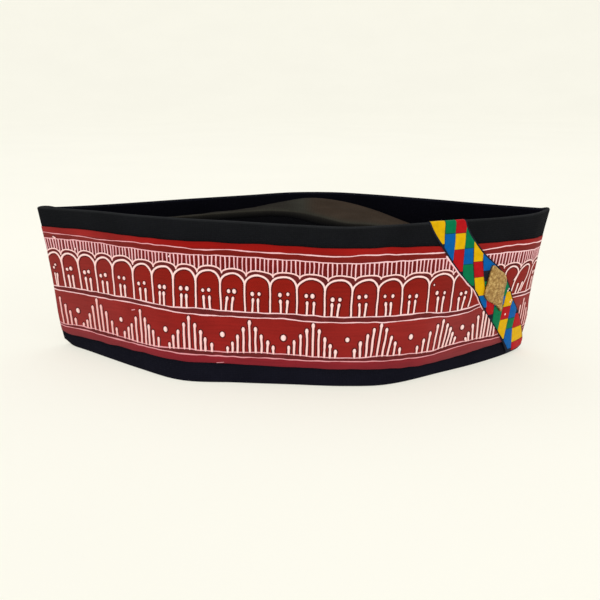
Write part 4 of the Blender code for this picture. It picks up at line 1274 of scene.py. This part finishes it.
# %% Patches
PATCHES = (
    # colour, way up at the top and foot, left edge at top and foot, right edge at top and foot
    ("yellow", 96.0, 71.6, 210.0, 215.0, 231.0, 232.0),
    ("green", 96.0, 76.7, 231.0, 232.0, 237.4, 238.3),
    ("blue", 76.6, 62.5, 232.0, 232.3, 238.3, 238.6),
    ("red", 96.0, 76.5, 237.4, 238.3, 250.0, 244.5),
    ("yellow", 76.4, 68.1, 238.3, 238.4, 244.5, 244.5),
    ("red", 68.0, 56.0, 238.4, 238.8, 244.5, 245.2),
    ("green", 81.4, 68.3, 244.5, 244.5, 251.0, 249.9),
    ("blue", 68.2, 59.7, 244.5, 245.0, 249.9, 251.0),
    ("green", 59.6, 47.5, 245.0, 246.5, 251.0, 254.0),
    ("yellow", 74.0, 60.6, 249.4, 251.2, 256.0, 256.8),
    ("red", 60.5, 51.9, 251.2, 253.2, 256.8, 259.2),
    ("yellow", 51.8, 41.2, 253.2, 256.0, 259.2, 262.6),
    ("blue", 64.6, 55.0, 256.4, 258.4, 268.0, 266.0),
    ("green", 49.0, 40.0, 260.2, 263.4, 268.0, 269.8),
    ("red", 54.8, 47.2, 264.0, 266.0, 276.0, 276.0),
    ("blue", 41.1, 33.8, 257.0, 260.0, 263.4, 265.0),
    ("red", 39.8, 29.0, 263.5, 265.3, 270.0, 270.6),
    ("green", 47.0, 38.6, 269.9, 270.2, 281.0, 278.2),
    ("blue", 38.5, 33.4, 270.2, 270.5, 278.2, 277.8),
    ("green", 33.3, 18.4, 270.6, 272.0, 277.8, 277.4),
    ("yellow", 40.6, 31.7, 278.2, 277.8, 287.0, 284.2),
    ("red", 31.6, 24.1, 277.8, 277.5, 284.2, 284.3),
    ("yellow", 24.0, 11.6, 277.5, 277.2, 284.3, 284.2),
    ("blue", 34.6, 23.6, 284.3, 284.4, 290.6, 290.6),
    ("green", 23.5, 17.3, 284.4, 284.3, 290.6, 290.4),
    ("blue", 17.2, 3.6, 284.3, 284.9, 290.4, 294.2),
    ("red", 25.6, 16.6, 290.7, 290.4, 299.0, 303.0),
    ("yellow", 16.5, 7.2, 290.4, 293.0, 306.0, 309.0),
    ("red", 7.1, 1.7, 293.4, 295.0, 313.0, 313.0),
)
SEAM_WIDTH = 0.05
PATCH_SWELL, PATCH_EDGE, PATCH_ROOT = 0.16, 0.2, 0.1
PATCH_ROWS, PATCH_COLUMNS = 40, 9
# A patch is flat on top and falls off at its seams: the higher the power, the closer to them
DOME_ACROSS, DOME_ALONG = 5, 7
# Width of the dark binding along each edge: way up, left, right
BINDING = np.array([(0.0, 2.8, 0.6), (16.0, 0.6, 0.6), (44.0, 0.6, 0.8), (62.0, 0.9, 1.1),
                    (72.0, 1.3, 1.1), (84.0, 0.9, 0.8), (96.0, 0.6, 0.6)])
# A row of a patch that the binding leaves narrower than this is dropped
NARROWEST = 0.15


def patch_grid(patch):
    """One patch: rows from foot to top, each cut off where the ribbon's binding starts.

    Its third value is how far each point is domed up, in mm."""
    _, top, foot, left_top, left_foot, right_top, right_foot = patch

    def row_ends(share):
        along = foot + SEAM_WIDTH + (top - foot - 2 * SEAM_WIDTH) * share
        bound = [np.interp(along, BINDING[:, 0], BINDING[:, k]) for k in (1, 2)]
        left = np.maximum(left_foot + (left_top - left_foot) * share + SEAM_WIDTH,
                          ribbon_edge(along, 1) + bound[0])
        right = np.minimum(right_foot + (right_top - right_foot) * share - SEAM_WIDTH,
                           ribbon_edge(along, 2) - bound[1])
        return along, left, right

    trial = np.linspace(0.0, 1.0, 5 * PATCH_ROWS)
    _, left, right = row_ends(trial)
    kept = trial[right - left > NARROWEST]
    share = np.linspace(kept[0], kept[-1], PATCH_ROWS)[:, None]
    along, left, right = row_ends(share)
    share = (share - kept[0]) / (kept[-1] - kept[0])
    over = np.linspace(0.0, 1.0, PATCH_COLUMNS)[None, :]
    arc = left + (right - left) * over
    along = np.broadcast_to(along, arc.shape)
    dome = ((1 - np.abs(2 * over - 1) ** DOME_ACROSS)
            * (1 - np.abs(2 * share - 1) ** DOME_ALONG))
    return arc, along, PATCH_SWELL * (PATCH_EDGE + (1 - PATCH_EDGE) * dome)


for satin_name, satin in satins.items():
    layers, patch_uv = [], []
    for patch in PATCHES:
        if patch[0] != satin_name:
            continue
        arc, along, domed = patch_grid(patch)
        front = ribbon_points(arc, along, RIBBON_THICKNESS + domed)
        back = ribbon_points(arc, along, RIBBON_THICKNESS - PATCH_ROOT)
        layers.append(np.stack([front, back]))
        patch_uv.append(np.stack([arc, along], axis=-1).reshape(-1, 2))
    count, size = len(layers), PATCH_ROWS * PATCH_COLUMNS
    front_quads, _, _ = grid_quads(PATCH_ROWS, PATCH_COLUMNS)
    number = np.arange(size).reshape(PATCH_ROWS, PATCH_COLUMNS)
    border = np.concatenate([number[0], number[1:, -1], number[-1, -2::-1], number[-2:0:-1, 0]])
    after = np.roll(border, -1)
    rim_quads = np.stack([border, border + size, after + size, after], axis=-1)
    block = np.concatenate([front_quads, front_quads[:, ::-1] + size, rim_quads])
    offsets = np.arange(count)[:, None, None] * 2 * size
    all_uv = np.concatenate([np.concatenate([uv, uv]) for uv in patch_uv])
    quads = (block[None] + offsets).reshape(-1, 4)
    new_piece(f"ribbon_patches_{satin_name}", np.array(layers), quads, satin,
              uv=all_uv[quads])

# %% [markdown]
# Glue line and glints
#
# Along the ribbon's left edge the photo shows a pale lilac bead, where the ribbon was
# stuck down, and a few pale glints near its right edge, painted highlights on the satin.
# They are paint strokes too.

# %% Bead along the ribbon
# Way up and width from the bead's foot to its top, how far out it lies, wavers and stands up
GLUE_WIDTHS = ((33.0, 46.0, 58.0, 64.6), (0.4, 0.7, 1.05, 1.6))
GLUE_OUT, GLUE_WAVER, WAVER_LENGTH, GLUE_RELIEF = 0.35, 0.12, 5.0, 0.5
GLINTS, LOW_GLINT = ((279.2, 42.2), (278.6, 41.2), (283.2, 35.2), (282.6, 34.2)), (280.4, 27.2)
GLINT_BEAD, LOW_GLINT_BEAD = (0.9, 0.2), (1.2, 0.2)

glue_up = np.linspace(GLUE_WIDTHS[0][-1], GLUE_WIDTHS[0][0], 40)
glue_arc = (ribbon_edge(glue_up, 1) - GLUE_OUT
            + GLUE_WAVER * ripples(glue_up, glue_up * 0, WAVER_LENGTH, seed=3))
strokes("ribbon_glue_bead", [(np.stack([glue_arc, glue_up], axis=-1)[None],
                              np.interp(glue_up, *GLUE_WIDTHS)[None], GLUE_RELIEF)],
        thin_acrylic)
strokes("ribbon_glints",
        [(blobs(GLINTS), *GLINT_BEAD), (blobs([LOW_GLINT]), *LOW_GLINT_BEAD)],
        white_acrylic,
        sheet_inset=-(RIBBON_CLEAR + RIBBON_THICKNESS + PATCH_SWELL))

# %% [markdown]
# Gold leaf
#
# The brooch is a thin cast leaf with a pointed tail: its outline is shrunk towards the
# middle, ring by ring, to make a low dome. Its face is rough, like metal cast in sand, so
# noise with grains of about a millimetre raises it, and turns the dull gold brighter on
# the grains and darker in the pits.

# %% Sand-cast gold material
gold, gold_shader = new_material("sand_cast_gold", roughness=0.45, metallic=0.85)
gold_place = add_node(gold, "ShaderNodeTexCoord")
gold_noise = add_node(gold, "ShaderNodeTexNoise",
                      {"Scale": 620.0, "Detail": 4.0, "Roughness": 0.7},
                      {"Vector": gold_place.outputs["Object"]})
gold_ramp = add_node(gold, "ShaderNodeValToRGB", links={"Fac": gold_noise.outputs["Fac"]},
                     stops=[(0.34, linear("#7e6036")), (0.66, linear("#d6b87a")),
                            (0.5, linear("#aa854e"))])
feed(gold_shader, "Base Color", gold_ramp.outputs["Color"])
gold_rough = add_node(gold, "ShaderNodeMapRange", {"To Min": 0.3, "To Max": 0.6},
                      {"Value": gold_noise.outputs["Fac"]})
feed(gold_shader, "Roughness", gold_rough.outputs["Result"])
gold_bump = add_node(gold, "ShaderNodeBump", {"Strength": 0.8, "Distance": 0.3 * MM},
                     {"Height": gold_noise.outputs["Fac"]})
feed(gold_shader, "Normal", gold_bump.outputs["Normal"])

# %% Brooch
BROOCH_CENTRE = np.array([266.6, 44.4])
BROOCH_BACK_LIFT = RIBBON_CLEAR + RIBBON_THICKNESS + PATCH_SWELL + 0.1
BROOCH_EDGE, BROOCH_DOME, LEAF_HOLE, LEAF_RINGS, LEAF_SIDES = 0.9, 1.1, 0.03, 24, 96
BROOCH_OUTLINE = np.array([
    # along, up
    (-3.4, 13.4), (-4.5, 9.7), (-5.1, 5.1), (-5.5, 1.2), (-5.8, -2.8), (-3.4, -6.2),
    (1.6, -9.0), (5.2, -11.3), (8.3, -14.4), (7.9, -9.4), (7.5, -4.6), (7.6, -0.4),
    (7.7, 3.5), (5.4, 7.6), (0.8, 10.6),
])
wrapped = np.take(BROOCH_OUTLINE, np.arange(-2, len(BROOCH_OUTLINE) + 3), axis=0, mode="wrap")
knots = np.arange(len(wrapped)) - 2.0
outline_turns = np.linspace(0.0, len(BROOCH_OUTLINE), LEAF_SIDES, endpoint=False)
outline = np.stack([spline(outline_turns, knots, wrapped[:, k]) for k in (0, 1)], -1)[::-1]
reach = np.sin(np.linspace(LEAF_HOLE, 1.0, LEAF_RINGS) * math.pi / 2)
reach = np.append(reach, 1.0)
spots = outline[None] * reach[:, None, None] + BROOCH_CENTRE
dome = np.sqrt(np.clip(1 - reach ** 2, 0.0, 1.0))
lift = BROOCH_BACK_LIFT + BROOCH_EDGE + BROOCH_DOME * dome
lift[-1] = BROOCH_BACK_LIFT
leaf_points = wall_points(spots[..., 0], spots[..., 1], -lift[:, None])
quads, _, _ = grid_quads(len(reach), len(outline), False, True)
middle_cap = tuple(range(len(outline)))[::-1]
back_cap = tuple(range((len(reach) - 1) * len(outline), len(reach) * len(outline)))
new_piece("gold_leaf", leaf_points, quads, gold, caps=[middle_cap, back_cap],
          node="brooch")
